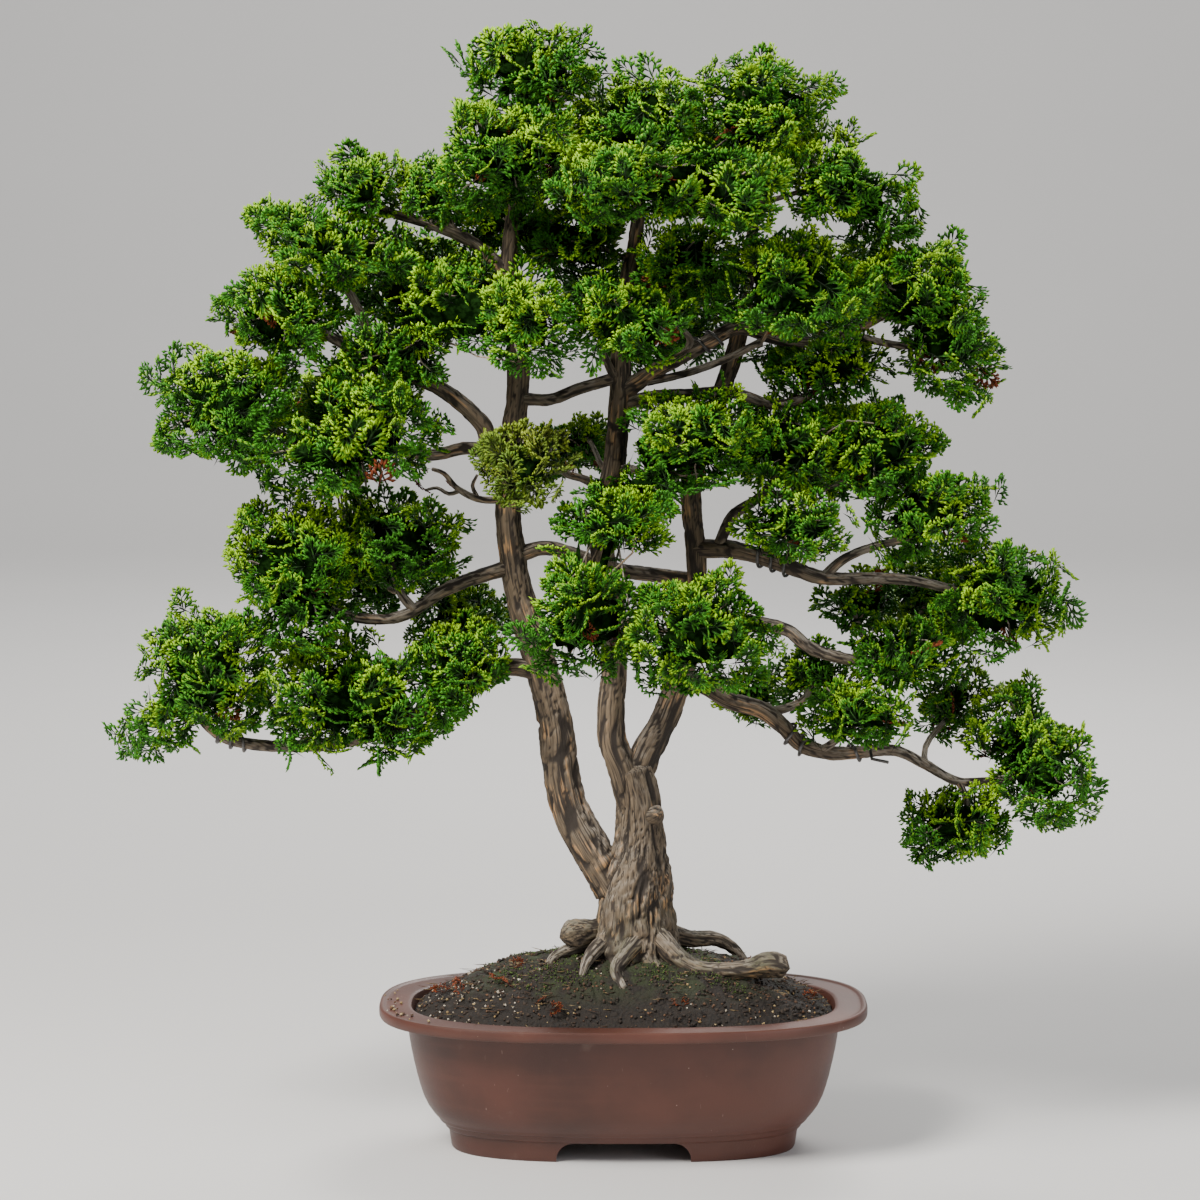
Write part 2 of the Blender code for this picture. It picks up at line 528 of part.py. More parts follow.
def limb_list():
    """Every trunk, root and branch: name to its stations, number of sides and depth of flutes."""
    trunks = {"left_trunk": LEFT_TRUNK, "middle_trunk": MIDDLE_TRUNK, "right_trunk": RIGHT_TRUNK}
    kinds = ((BASE_SHAPE, {"base": BASE}), (TRUNK_SHAPE, trunks), (ROOT_SHAPE, ROOTS),
             (BRANCH_SHAPE, BRANCHES))
    return {name: (smooth_stations(places, step), sides, flutes)
            for (sides, step, flutes), limbs in kinds for name, places in limbs.items()}


def twig_stations(stations, share, tip):
    """A twig from the middle of a limb out to a foliage clump's middle, rising as it goes."""
    start = station_at(stations, share)
    rows = []
    for along, radius in zip((0.0, 0.5, 1.0), TWIG_RADII):
        point = start[:3] + (tip - start[:3]) * along
        point[2] += TWIG_RISE * 4 * along * (1 - along)
        rows.append((*point, radius * MM))
    return np.array(rows)


def add_twigs(limbs):
    for name, (hold, first, *_) in PADS.items():
        if hold:
            stations = twig_stations(limbs[hold[0]][0], hold[1], clump_box(first)[0])
            limbs["twig_" + name] = (stations, TWIG_SIDES, 0.0)


def join_limbs(name, limbs, grow=0.0, sleeves=()):
    first, *others = [tube(name, stations, sides, grow, flutes)
                      for stations, sides, flutes in limbs.values()]
    first.name = name
    combine(first, [*others, *sleeves], "UNION")
    return first


def wired_stretch(stations, start, end, count):
    return np.array([station_at(stations, start + (end - start) * k / count) for k in range(count + 1)])


def wire_sleeves(limbs, grow):
    """Plain tubes round the wired stretches, which the foliage stays clear of."""
    sleeves = []
    for limb, start, end, _, _ in WIRES.values():
        rows = wired_stretch(limbs[limb][0], start - 0.01, end + 0.01, 4)
        rows[:, 3] += WIRE_SLEEVE
        sleeves.append(tube("sleeve", rows, 8, grow))
    return sleeves


def make_wire(name, limbs):
    """A wire wound round its branch just clear of the bark, with its loose end if it has one."""
    limb, start, end, turns, loose = WIRES[name]
    steps = round(turns * WIRE_STEPS)
    rows = wired_stretch(limbs[limb][0], start, end, steps)
    _, across, normal = frames_along(rows[:, :3])
    angles = np.arange(steps + 1) * 2 * math.pi / WIRE_STEPS
    reach = (rows[:, 3] + WIRE_CLEARANCE + WIRE_RADIUS) / math.cos(math.pi / WIRE_STEPS)
    points = rows[:, :3] + reach[:, None] * (np.cos(angles)[:, None] * across
                                             + np.sin(angles)[:, None] * normal)
    if loose:
        points = np.vstack((points, [seen(place) for place in loose]))
    stations = np.column_stack((points, np.full(len(points), WIRE_RADIUS)))
    return tube(name, stations, WIRE_SIDES)


def clump_box(clump):
    """A clump's middle and half sizes, in metres along x, y and z."""
    across, up, depth, half_across, half_up, half_deep = clump
    half = np.array((half_across, half_deep * DEEPER, half_up)) * MM * FULLER
    across = CANOPY_MIDDLE + (across - CANOPY_MIDDLE) * DRAWN_IN
    return seen((across, up, depth * DEPTH_SPREAD)), half


def dividing_planes(middle, half, others):
    """Planes between this clump and each clump of another pad: outward normal and distance."""
    planes = []
    for other_middle, other_half in others:
        gap = other_middle - middle
        distance = np.linalg.norm(gap)
        toward = gap / distance
        reach = 1 / np.linalg.norm(toward / half)
        other_reach = 1 / np.linalg.norm(toward / other_half)
        planes.append((toward, distance * reach / (reach + other_reach) - 2 * GAP))
    return planes


def fan_directions(draw, fans):
    """Unit directions of a clump's points, each with its reach, fan by fan and rims first.

    Each fan's rim runs across its direction, mostly level, from tip to notch to tip. One point
    below the rim and two above it lie on the core, so that the fan stands out as a pleated blade.
    """
    rims, flanks = [], []
    turn = draw.uniform(0, 2 * math.pi)
    for k in range(fans):
        height = 1 - (2 * k + 1) / fans
        angle = turn + k * math.pi * (3 - math.sqrt(5)) + draw.uniform(-FAN_DRIFT, FAN_DRIFT)
        level = math.sqrt(1 - height * height)
        outward = np.array((level * math.cos(angle), level * math.sin(angle), height))
        along = np.array((-math.sin(angle), math.cos(angle), 0.0))
        upward = np.cross(outward, along)
        roll = draw.uniform(-FAN_ROLL, FAN_ROLL)
        along, upward = (along * math.cos(roll) + upward * math.sin(roll),
                         upward * math.cos(roll) - along * math.sin(roll))
        for step in range(2 * FAN_TIPS - 1):
            spread = FAN_SPREAD * (step / (2 * FAN_TIPS - 2) - 0.5)
            low, high = TIP_REACH if step % 2 == 0 else NOTCH_REACH
            rims.append((outward * math.cos(spread) + along * math.sin(spread), draw.uniform(low, high)))
        for side, spreads in ((-1, (0.0,)), (1, (-0.3 * FAN_SPREAD, 0.3 * FAN_SPREAD))):
            for spread in spreads:
                ray = outward * math.cos(spread) + along * math.sin(spread)
                ray = ray * math.cos(FAN_HALF_THICKNESS) + upward * side * math.sin(FAN_HALF_THICKNESS)
                flanks.append((ray, draw.uniform(*CORE_REACH)))
    kept = []
    for ray, reach in rims + flanks:
        if all(ray.dot(other) < math.cos(CLOSEST_POINTS) for other, _ in kept):
            kept.append((ray, reach))
    return kept


def make_clump(name, middle, half, planes, draw):
    """A star of fans: the hull of unit directions, each point then moved out to its reach."""
    count, at_size = FANS_AT_SIZE
    fans = max(FEWEST_FANS, round(count * (half.mean() / at_size) ** FAN_GROWTH))
    work = bmesh.new()
    points = []
    for ray, reach in fan_directions(draw, fans):
        ray = ray / np.linalg.norm(ray)
        points.append((work.verts.new(ray), ray * half, reach))
    bmesh.ops.convex_hull(work, input=list(work.verts))
    for vertex, arm, reach in points:
        for normal, distance in planes:
            toward = normal.dot(arm)
            if toward > 0:
                pressed = PRESSED_REACH + (1 - PRESSED_REACH) * reach
                reach = min(reach, pressed * distance / toward)
        vertex.co = middle + arm * reach
    loose = [vertex for vertex in work.verts if not vertex.link_faces]
    bmesh.ops.delete(work, geom=loose, context="VERTS")
    bmesh.ops.recalc_face_normals(work, faces=work.faces)
    return object_from(name, work)


def make_pad(name, boxes, cutter):
    """One pad of foliage: its clumps, joined by their stems, with a hole for what it grows on."""
    draw = np.random.default_rng(list(PADS).index(name) + 5)
    others = [clump for other, clumps in boxes.items() if other != name for clump in clumps]
    clumps = [make_clump(name, middle, half, dividing_planes(middle, half, others), draw)
              for middle, half in boxes[name]]
    stems = [tube("stem", np.array([(*start, CLUMP_LINK_RADIUS), (*end, CLUMP_LINK_RADIUS)]), 5)
             for (start, _), (end, _) in zip(boxes[name], boxes[name][1:])]
    pad, *rest = clumps
    if rest:
        combine(pad, rest + stems, "UNION")
    combine(pad, [cutter.copy()], "DIFFERENCE")
    keep_largest_body(pad)
    pad.name = name
    return pad


def main():
    clear_scene()
    bpy.context.scene.unit_settings.scale_length = 1.0
    stand = bpy.data.objects.new("stand", None)
    bpy.context.scene.collection.objects.link(stand)
    stand.location = STAND
    limbs = limb_list()
    add_twigs(limbs)
    clay = make_material("clay", (0.16, 0.062, 0.042), 0.5)
    earth = make_material("earth", (0.045, 0.032, 0.022), 0.95)
    bark = make_material("bark", (0.20, 0.145, 0.095), 0.85)
    wire_finish = make_material("wire", (0.16, 0.14, 0.13), 0.4)
    mesh_finish = make_material("mesh", (0.03, 0.03, 0.03), 0.6)
    finish_object(join_limbs("wood", limbs), bark, stand)
    cutter = join_limbs("clearance", limbs, WOOD_CLEARANCE)
    finish_object(make_pot(), clay, stand, 25)
    finish_object(make_soil(cutter), earth, stand)
    for name, side in (("drain_screen_left", -1), ("drain_screen_right", 1)):
        finish_object(make_screen(name, side * DRAIN_ACROSS), mesh_finish, stand)
    for name in WIRES:
        finish_object(make_wire(name, limbs), wire_finish, stand)
    cutter = join_limbs("clearance", limbs, WOOD_CLEARANCE, wire_sleeves(limbs, GAP))
    boxes = {name: [clump_box(clump) for clump in clumps] for name, (_, *clumps) in PADS.items()}
    for index, name in enumerate(PADS):
        shade = 0.8 + 0.4 * ((index * 0.618) % 1)
        leaf = make_material("leaf_" + name, (0.10 * shade, 0.21 * shade, 0.03 * shade), 0.6)
        finish_object(make_pad(name, boxes, cutter), leaf, stand, 20)
    bpy.data.objects.remove(cutter, do_unlink=True)


main()
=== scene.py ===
"""Hinoki cypress bonsai in an oval clay pot: bark, foliage, soil, pot, wires and studio.

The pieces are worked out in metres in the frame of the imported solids. Places of limbs are listed in
millimetres as (across, up, depth, radius), seen from the front, in the middle plane of the pot.
"""

import math

import bmesh
import bpy
import numpy as np
from bpy.props import FloatProperty, FloatVectorProperty, IntProperty, PointerProperty
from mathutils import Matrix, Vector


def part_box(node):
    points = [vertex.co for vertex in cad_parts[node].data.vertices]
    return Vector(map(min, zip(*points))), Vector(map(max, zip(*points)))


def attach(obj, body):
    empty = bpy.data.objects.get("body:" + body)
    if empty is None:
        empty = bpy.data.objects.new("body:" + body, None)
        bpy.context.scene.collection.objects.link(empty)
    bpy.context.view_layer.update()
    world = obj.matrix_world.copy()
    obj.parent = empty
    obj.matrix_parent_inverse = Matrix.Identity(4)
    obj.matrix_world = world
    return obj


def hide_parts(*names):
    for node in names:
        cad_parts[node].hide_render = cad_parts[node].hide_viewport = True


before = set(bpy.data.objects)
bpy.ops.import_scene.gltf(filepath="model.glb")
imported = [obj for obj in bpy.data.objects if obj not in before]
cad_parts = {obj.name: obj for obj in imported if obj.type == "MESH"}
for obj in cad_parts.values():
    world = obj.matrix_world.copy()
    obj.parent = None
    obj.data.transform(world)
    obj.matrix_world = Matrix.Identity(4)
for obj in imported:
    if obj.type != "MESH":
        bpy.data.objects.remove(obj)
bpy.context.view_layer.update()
POT_LOW, POT_HIGH = (np.array(corner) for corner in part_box("pot"))
STAND = np.array((*(0.5 * (POT_LOW + POT_HIGH))[:2], POT_LOW[2]))
POT_HEIGHT = float(POT_HIGH[2] - POT_LOW[2])
RIM_HALF = 0.5 * (POT_HIGH - POT_LOW)[:2]

bl_info = {
    "name": "Hinoki cypress bonsai",
    "version": (1, 0, 0),
    "blender": (4, 5, 0),
    "location": "3D View > Sidebar > Bonsai",
    "description": "Builds the bark, foliage, soil, pot and wires of a hinoki cypress bonsai",
    "category": "Add Mesh",
}

MM = 0.001
FINISH = {}

# The eye that the limbs' places are seen from, in metres from the middle of the pot's foot.
EYE = np.array((-0.020, -3.440, 0.860))

BASE = ((10, 150, 0, 46), (9, 168, 0, 39), (10, 188, 0, 34), (10, 212, 0, 30.5), (12, 240, 0, 26),
        (14, 270, 0, 20.5), (13, 300, 0, 18), (7, 325, 0, 16))
TRUNKS = {
    "left_trunk": (
        (-8, 222, 0, 17), (-32, 262, 2, 16), (-46, 290, 5, 15.5), (-54, 325, 8, 15),
        (-57, 360, 10, 14.5), (-66, 400, 12, 13.5), (-78, 440, 14, 13), (-87, 470, 15, 12),
        (-94, 505, 15, 11), (-98, 545, 14, 10.5), (-97, 585, 12, 10), (-92, 625, 10, 9.5),
        (-89, 665, 8, 9), (-91, 705, 6, 8), (-96, 745, 4, 7.5), (-94, 790, 4, 6),
        (-86, 840, 2, 4.5), (-78, 900, 0, 3)),
    "middle_trunk": (
        (8, 290, 0, 12), (-1, 325, -3, 12), (-10, 350, -4, 11.5), (-11, 375, -5, 11),
        (-9, 400, -6, 11), (-8, 430, -5, 10.5), (-10, 470, 0, 10), (-18, 510, 4, 10),
        (-17, 545, 6, 10), (-9, 580, 6, 9.5), (-6, 610, 5, 9), (-3, 645, 5, 9),
        (-2, 690, 8, 8), (2, 730, 12, 7.5), (10, 775, 14, 6), (14, 820, 12, 4.5), (14, 868, 8, 3)),
    "right_trunk": (
        (10, 312, 0, 13), (20, 340, 4, 12.5), (32, 362, 8, 11.5), (41, 385, 12, 11),
        (50, 410, 16, 10.5), (58, 440, 18, 9.5), (62, 475, 18, 8.5), (62, 510, 17, 8.5),
        (58, 545, 16, 8.5), (58, 580, 16, 8), (70, 615, 17, 7.5), (84, 650, 18, 7.5),
        (96, 690, 20, 7), (104, 735, 22, 5.5), (109, 790, 18, 4.5), (112, 875, 10, 3)),
}
BRANCHES = {
    "low_left": ((-68, 408, 12, 8), (-95, 413, 8, 7.5), (-118, 404, 8, 7), (-150, 386, 14, 6.5),
                 (-200, 360, 20, 6), (-250, 347, 20, 5.5), (-300, 345, 12, 5), (-340, 352, 4, 4.5),
                 (-362, 372, 0, 3.5), (-366, 396, 0, 2.5)),
    "left": ((-92, 500, 15, 7), (-125, 490, 8, 6), (-154, 478, 2, 5.5), (-185, 458, -4, 5),
             (-215, 454, -6, 4.5), (-250, 462, -6, 4), (-276, 482, -6, 3)),
    "left_fork": ((-178, 462, -4, 4.5), (-190, 478, 0, 3.5), (-198, 505, 4, 2.5)),
    "left_rising": ((-97, 588, 12, 8), (-112, 602, 4, 7.5), (-121, 622, -4, 7), (-150, 647, -12, 6.5),
                    (-182, 662, -16, 5.5), (-212, 672, -16, 5), (-240, 690, -12, 4.5),
                    (-265, 702, -8, 4), (-288, 712, -6, 3)),
    "left_rising_fork": ((-205, 670, -16, 4.5), (-216, 700, -14, 4), (-230, 730, -12, 3.5),
                         (-250, 756, -10, 2.6)),
    "left_level": ((-103, 596, 8, 6), (-132, 600, 8, 5.5), (-162, 594, 4, 5), (-195, 598, 0, 4.5),
                   (-230, 602, 2, 4), (-268, 600, 4, 3.6), (-300, 618, 2, 3.2), (-330, 632, 0, 2.5)),
    "left_bare_fork": ((-138, 564, -8, 2), (-148, 561, -10, 1.7), (-158, 566, -8, 1.4), (-168, 564, -8, 1.1)),
    "left_bare_spur": ((-124, 558, -1, 2), (-128, 568, -6, 1.6), (-124, 577, -10, 1.2)),
    "left_bare": ((-97, 557, 12, 3.2), (-120, 556, 0, 3), (-140, 565, -8, 2.6), (-152, 578, -12, 2),
                  (-162, 582, -14, 1.6)),
    "left_top": ((-96, 746, 4, 6), (-115, 764, 2, 5.5), (-138, 779, 0, 5), (-168, 790, 0, 4.2),
                 (-195, 798, 0, 3.6), (-218, 810, 0, 2.6)),
    "left_top_fork": ((-140, 780, 0, 3.6), (-150, 796, 2, 3), (-158, 810, 4, 2.4)),
    "cross_high": ((-89, 642, 9, 5.5), (-62, 641, 2, 5), (-38, 650, 0, 5), (-4, 660, 5, 5)),
    "cross_low": ((-92, 508, 15, 7), (-68, 515, 26, 6.5), (-45, 510, 32, 6.5), (-10, 497, 34, 6.5),
                  (28, 492, 30, 6), (58, 488, 20, 6)),
    "cross_twig": ((-16, 560, 6, 4), (-30, 572, -6, 3.6), (-48, 578, -16, 3), (-56, 586, -26, 2.2)),
    "right_bow": ((-8, 582, 6, 4), (8, 582, -6, 3.6), (28, 573, -14, 3.4), (46, 576, -18, 3),
                  (56, 592, -26, 2.4)),
    "right_level": ((60, 514, 17, 8), (88, 514, 10, 7.5), (112, 509, 2, 7), (148, 496, -6, 6.5),
                    (172, 489, -10, 6), (205, 489, -10, 5), (240, 488, -8, 4.4), (280, 480, -4, 3.8),
                    (312, 477, 0, 2.8)),
    "right_level_fork": ((170, 490, -10, 4.5), (188, 506, -12, 4), (212, 516, -14, 3.6),
                         (240, 524, -12, 3.2), (258, 540, -10, 2.4)),
    "right_inner": ((80, 515, 12, 5), (92, 542, 2, 4.6), (112, 556, -6, 4), (128, 572, -10, 3.4),
                    (142, 592, -12, 2.6)),
    "right_inner_fork": ((118, 560, -8, 3.6), (150, 562, -14, 3.2), (180, 570, -16, 3),
                         (208, 588, -14, 2.4)),
    "right_arm": ((0, 636, 5, 6), (24, 643, 0, 5.6), (55, 645, -4, 5.2), (90, 647, -2, 5),
                  (125, 637, 0, 4.4), (152, 642, 2, 3.6), (174, 656, 4, 2.6)),
    "right_climb": ((0, 648, 5, 7.5), (24, 664, -2, 7), (46, 676, -6, 6.5), (72, 690, -6, 6),
                    (98, 702, 0, 6), (130, 692, 2, 5), (165, 690, 0, 4.4), (196, 700, -2, 4),
                    (222, 714, -4, 3.4), (240, 728, -4, 2.6)),
    "right_climb_fork": ((188, 698, -2, 3.6), (214, 690, -6, 3.2), (240, 686, -8, 3),
                         (276, 684, -8, 2.4)),
    "right_slender": ((20, 656, -2, 3.6), (55, 664, -12, 3.2), (88, 676, -14, 3), (116, 690, -8, 3.2)),
    "right_bare": ((52, 680, -6, 3.4), (56, 692, -14, 3), (44, 704, -20, 2.4), (34, 716, -24, 1.6)),
    "right_low": ((60, 462, 18, 6.5), (92, 455, 10, 6.2), (118, 450, 4, 6), (140, 444, 0, 5.6),
                  (158, 430, -4, 5.4), (185, 421, -6, 5), (212, 418, -6, 4), (238, 424, -6, 2.8)),
    "right_lowest": ((46, 402, 16, 9), (68, 398, 6, 8), (92, 384, -4, 7.5), (118, 376, -8, 7),
                     (136, 362, -10, 7), (152, 346, -10, 6.8), (176, 339, -8, 6.2), (205, 340, -6, 5.4),
                     (232, 341, -4, 4.8), (258, 329, -2, 4.4), (284, 315, 0, 4), (312, 315, 2, 3.6),
                     (340, 320, 2, 3), (362, 326, 2, 2.4)),
    "right_lowest_rise": ((122, 374, -8, 4), (140, 378, 4, 3.6), (154, 386, 12, 3),
                          (162, 402, 16, 2.4)),
    "right_lowest_front": ((168, 341, -9, 3.6), (184, 352, -22, 3), (200, 366, -34, 2.4)),
    "right_lowest_drop": ((286, 315, 0, 3), (292, 302, -4, 2.8), (295, 284, -6, 2.2)),
    "bare_stub": ((-5, 655, 5, 4), (-12, 668, -2, 3.6), (-18, 682, -6, 3)),
    "cut_knob": ((14, 282, -6, 9), (24, 285, -12, 8.5), (31, 287, -16, 7)),
}

# Roots, each from inside the base outwards and down into the soil.
ROOTS = {
    "long_root": ((22, 188, -10, 11), (34, 174, -24, 10), (48, 160, -33, 9), (66, 151, -38, 8),
                  (88, 150, -40, 7), (108, 152, -41, 8), (126, 155, -42, 11), (138, 153, -42, 9)),
    "front_root": ((18, 184, -12, 9), (8, 172, -32, 8), (-1, 160, -42, 6.5), (-6, 149, -52, 5.5),
                   (0, 134, -66, 4)),
    "left_stub": ((-18, 186, -6, 9), (-34, 184, -14, 10), (-44, 182, -20, 11.5), (-51, 180, -23, 7)),
    "left_root": ((-14, 182, -8, 8), (-36, 172, -16, 6), (-56, 164, -20, 4.5), (-66, 152, -22, 3)),
    "near_left_root": ((-10, 180, -12, 8), (-24, 168, -34, 6), (-32, 156, -44, 4), (-36, 144, -50, 2.5)),
    "right_back_root": ((34, 184, 12, 9), (58, 178, 26, 7), (78, 178, 34, 6), (94, 170, 40, 5),
                        (104, 158, 42, 4)),
    "back_root": ((10, 184, 18, 9), (4, 170, 46, 7), (-4, 158, 66, 5), (-10, 146, 80, 3.5)),
    "back_left_root": ((-12, 182, 14, 8), (-36, 170, 30, 6), (-60, 156, 44, 4), (-76, 146, 52, 2.5)),
}

# Where dried tufts cling to bare twigs: (across, up, depth).
BARE_TUFTS = ((-161, 582, -14), (-166, 565, -8), (-124, 577, -10), (-140, 563, -8), (44, 704, -20), (-50, 580, -20))

# Training wire: its branch, the share of the branch's length where it starts and ends, its turns,
# and the places in millimetres that a loose end runs on to.
WIRES = {
    "wire_right_lowest": ("right_lowest", 0.305, 0.385, 2.2, ()),
    "wire_right_end": ("right_lowest", 0.48, 0.535, 1.4, ((212, 334, -20), (226, 331, -28))),
    "wire_right_level": ("right_level", 0.20, 0.335, 3.0, ()),
    "wire_right_climb": ("right_climb", 0.27, 0.36, 2.0, ()),
    "wire_low_left": ("low_left", 0.78, 0.865, 2.6, ()),
}
WIRE_CLEARANCE = 0.0004

# Parts that are not foliage pads, and the pads that differ in colour.
NOT_FOLIAGE = ("pot", "soil", "wood", "drain_screen_left", "drain_screen_right", *WIRES)
OLIVE_PADS = ("olive_front",)

# Outer section of the pot below its rim, in millimetres: stand-in from the rim and height.
BODY_SECTION = (
    (62.3, 0), (61.4, 1.2), (60.2, 8), (59.2, 15), (58.6, 17.2), (57.2, 17.8), (55.9, 19.2), (55.2, 21.4),
    (54.2, 23.2), (51.6, 24.2), (50.6, 25.4), (50.2, 26.6), (48.3, 28.6), (45.2, 32.4), (41.1, 38.5), (37.4, 46.5),
    (34.6, 55), (31.7, 66), (29.2, 77), (27, 88), (25.4, 98), (24.4, 108), (24, 112.5), (23.4, 115.1),
)
RIM_SECTION = (
    (21, 115.5), (8, 115.5), (2.4, 115.5), (0.9, 116.0), (0.2, 117.1), (0, 119.4), (0, 122.2), (0.5, 124.0),
    (1.6, 124.9), (3.2, 125.0), (4.4, 124.6), (5.2, 123.9), (6.2, 123.6), (9, 123.7), (18, 124.0), (24, 124.2),
    (26.2, 124.0), (27.4, 123.2), (28.1, 121.6), (31.5, 100), (41.5, 55), (66, 26),
)
UNDER_SECTION = ((76, 17.6), (76.3, 15), (76.8, 1.2), (75.8, 0))
POT_SQUARENESS = 2.7
FOOT_ARCH_WIDTH = 0.114
FOOT_ARCH_HEIGHT = 0.017
FOOT_ARCH_CORNER = 0.015
DRAIN_RADIUS = 0.013
DRAIN_ACROSS = 0.075

SOIL_EDGE = 0.116
SOIL_RISE = 0.054
SOIL_INSET = 0.0291


class Value:
    """A shader socket or a number, so that shader maths is written as plain expressions."""

    def __init__(self, finish, socket):
        self.finish, self.socket = finish, socket

    def maths(self, operation, *others, swap=False):
        sources = [self, *others]
        if swap:
            sources.reverse()
        return self.finish.node("ShaderNodeMath", {"operation": operation}, sources)

    def __add__(self, other):
        return self.maths("ADD", other)

    def __sub__(self, other):
        return self.maths("SUBTRACT", other)

    def __mul__(self, other):
        return self.maths("MULTIPLY", other)

    def __truediv__(self, other):
        return self.maths("DIVIDE", other)

    def __pow__(self, other):
        return self.maths("POWER", other)

    def __rsub__(self, other):
        return self.maths("SUBTRACT", other, swap=True)

    __radd__ = __add__
    __rmul__ = __mul__

    def ramp(self, low, high):
        """Rises smoothly from 0 at low to 1 at high, or falls where high is below low."""
        falls = low > high
        low, high = min(low, high), max(low, high)
        settings = {"interpolation_type": "SMOOTHSTEP"}
        rise = self.finish.node("ShaderNodeMapRange", settings, [self, low, high])
        return 1.0 - rise if falls else rise


class Finish:
    """A material under construction: its nodes, and short ways to add to them."""

    def __init__(self, name, roughness, **fixed):
        self.material = bpy.data.materials.new(name)
        self.material.use_nodes = True
        self.tree = self.material.node_tree
        self.shader = self.tree.nodes["Principled BSDF"]
        self.shader.inputs["Roughness"].default_value = roughness
        for socket, value in fixed.items():
            self.shader.inputs[socket.replace("_", " ")].default_value = value
        FINISH[name] = self.material

    def node(self, kind, settings=None, sources=(), output=0):
        """Adds a node: its settings first, then the values or links of its sockets, in order or by name."""
        made = self.tree.nodes.new(kind)
        for setting, value in (settings or {}).items():
            setattr(made, setting, value)
        pairs = sources.items() if isinstance(sources, dict) else enumerate(sources)
        for key, source in pairs:
            if isinstance(source, Value):
                self.tree.links.new(source.socket, made.inputs[key])
            elif source is not None:
                made.inputs[key].default_value = source
        return Value(self, made.outputs[output])

    def place(self):
        """Object coordinates, in metres."""
        return self.node("ShaderNodeTexCoord", output=3)

    def stored(self, name, output=2):
        """A stored attribute of the mesh: output 2 is its number, 1 its vector."""
        return self.node("ShaderNodeAttribute", {"attribute_name": name}, output=output)

    def scaled(self, place, scale):
        return self.node("ShaderNodeMapping", {"vector_type": "POINT"}, {0: place, 3: scale})

    def noise(self, place, scale, detail=3.0, rough=0.55, spread=0.0):
        settings = {"noise_dimensions": "3D"}
        sources = {"Vector": place, "Scale": scale, "Detail": detail, "Roughness": rough, "Distortion": spread}
        return self.node("ShaderNodeTexNoise", settings, sources)

    def cells(self, place, scale, feature="F1", output=0):
        settings = {"voronoi_dimensions": "3D", "feature": feature}
        return self.node("ShaderNodeTexVoronoi", settings, {"Vector": place, "Scale": scale}, output)

    def mix(self, share, first, second):
        """A colour that is the first where share is 0 and the second where it is 1."""
        colours = [colour if isinstance(colour, Value) else (*colour[:3], 1.0) for colour in (first, second)]
        sources = {0: share, 6: colours[0], 7: colours[1]}
        return self.node("ShaderNodeMix", {"data_type": "RGBA"}, sources, output=2)

    def bump(self, height, distance, strength=1.0, under=None):
        sources = {"Strength": strength, "Distance": distance, "Height": height}
        if under is not None:
            sources["Normal"] = under
        return self.node("ShaderNodeBump", None, sources)

    def feed(self, **sockets):
        for name, value in sockets.items():
            self.tree.links.new(value.socket, self.shader.inputs[name.replace("_", " ")])
        return self.material


def seen(places):
    """Metre positions of millimetre places, each slid along its line of sight to its own depth."""
    places = np.asarray(places, float) * MM
    scale = (places[:, 2] - EYE[1]) / -EYE[1]
    return STAND + np.column_stack((EYE[0] + (places[:, 0] - EYE[0]) * scale, places[:, 2],
                                    EYE[2] + (places[:, 1] - EYE[2]) * scale))


def unit(rows):
    return rows / np.maximum(np.linalg.norm(rows, axis=-1, keepdims=True), 1e-9)


def smooth_path(places, step):
    """Catmull-Rom curve through (across, up, depth, radius) places: points and radii each step."""
    places = np.asarray(places, float)
    knots = np.column_stack((seen(places[:, :3]), places[:, 3] * MM))
    ends = np.vstack((2 * knots[0] - knots[1], knots, 2 * knots[-1] - knots[-2]))
    rows = []
    for before, start, end, after in zip(ends, ends[1:], ends[2:], ends[3:]):
        count = max(2, round(float(np.linalg.norm((end - start)[:3])) / step))
        share = np.arange(count)[:, None] / count
        rows.append(0.5 * (2 * start + (end - before) * share
                           + (2 * before - 5 * start + 4 * end - after) * share ** 2
                           + (3 * start - before - 3 * end + after) * share ** 3))
    rows = np.vstack((*rows, knots[-1:]))
    return rows[:, :3], rows[:, 3]


def lengths_along(points):
    return np.concatenate(([0], np.cumsum(np.linalg.norm(np.diff(points, axis=0), axis=1))))


def path_frames(points):
    """Side and normal directions at each point of a path, carried along it without twist."""
    tangents = unit(np.gradient(points, axis=0))
    seed = np.array((0.0, 1.0, 0.0)) if abs(tangents[0][1]) < 0.8 else np.array((1.0, 0.0, 0.0))
    sides = []
    for tangent in tangents:
        seed = seed - tangent * seed.dot(tangent)
        seed = seed / np.linalg.norm(seed)
        sides.append(seed)
    sides = np.array(sides)
    return tangents, sides, np.cross(tangents, sides)


def grid_faces(rows, columns):
    """Triangles of a grid that is closed round its columns and has a centre point at either end."""
    k = np.arange(columns)
    right = (k + 1) % columns
    low = (np.arange(rows - 1) * columns)[:, None]
    a, b = low + k, low + right
    c, d = b + columns, a + columns
    sides = np.stack((np.stack((a, b, c), -1), np.stack((a, c, d), -1)), 2).reshape(-1, 3)
    first, last = rows * columns, rows * columns + 1
    top = (rows - 1) * columns
    start = np.column_stack((np.full(columns, first), right, k))
    end = np.column_stack((np.full(columns, last), top + k, top + right))
    return np.vstack((sides, start, end))


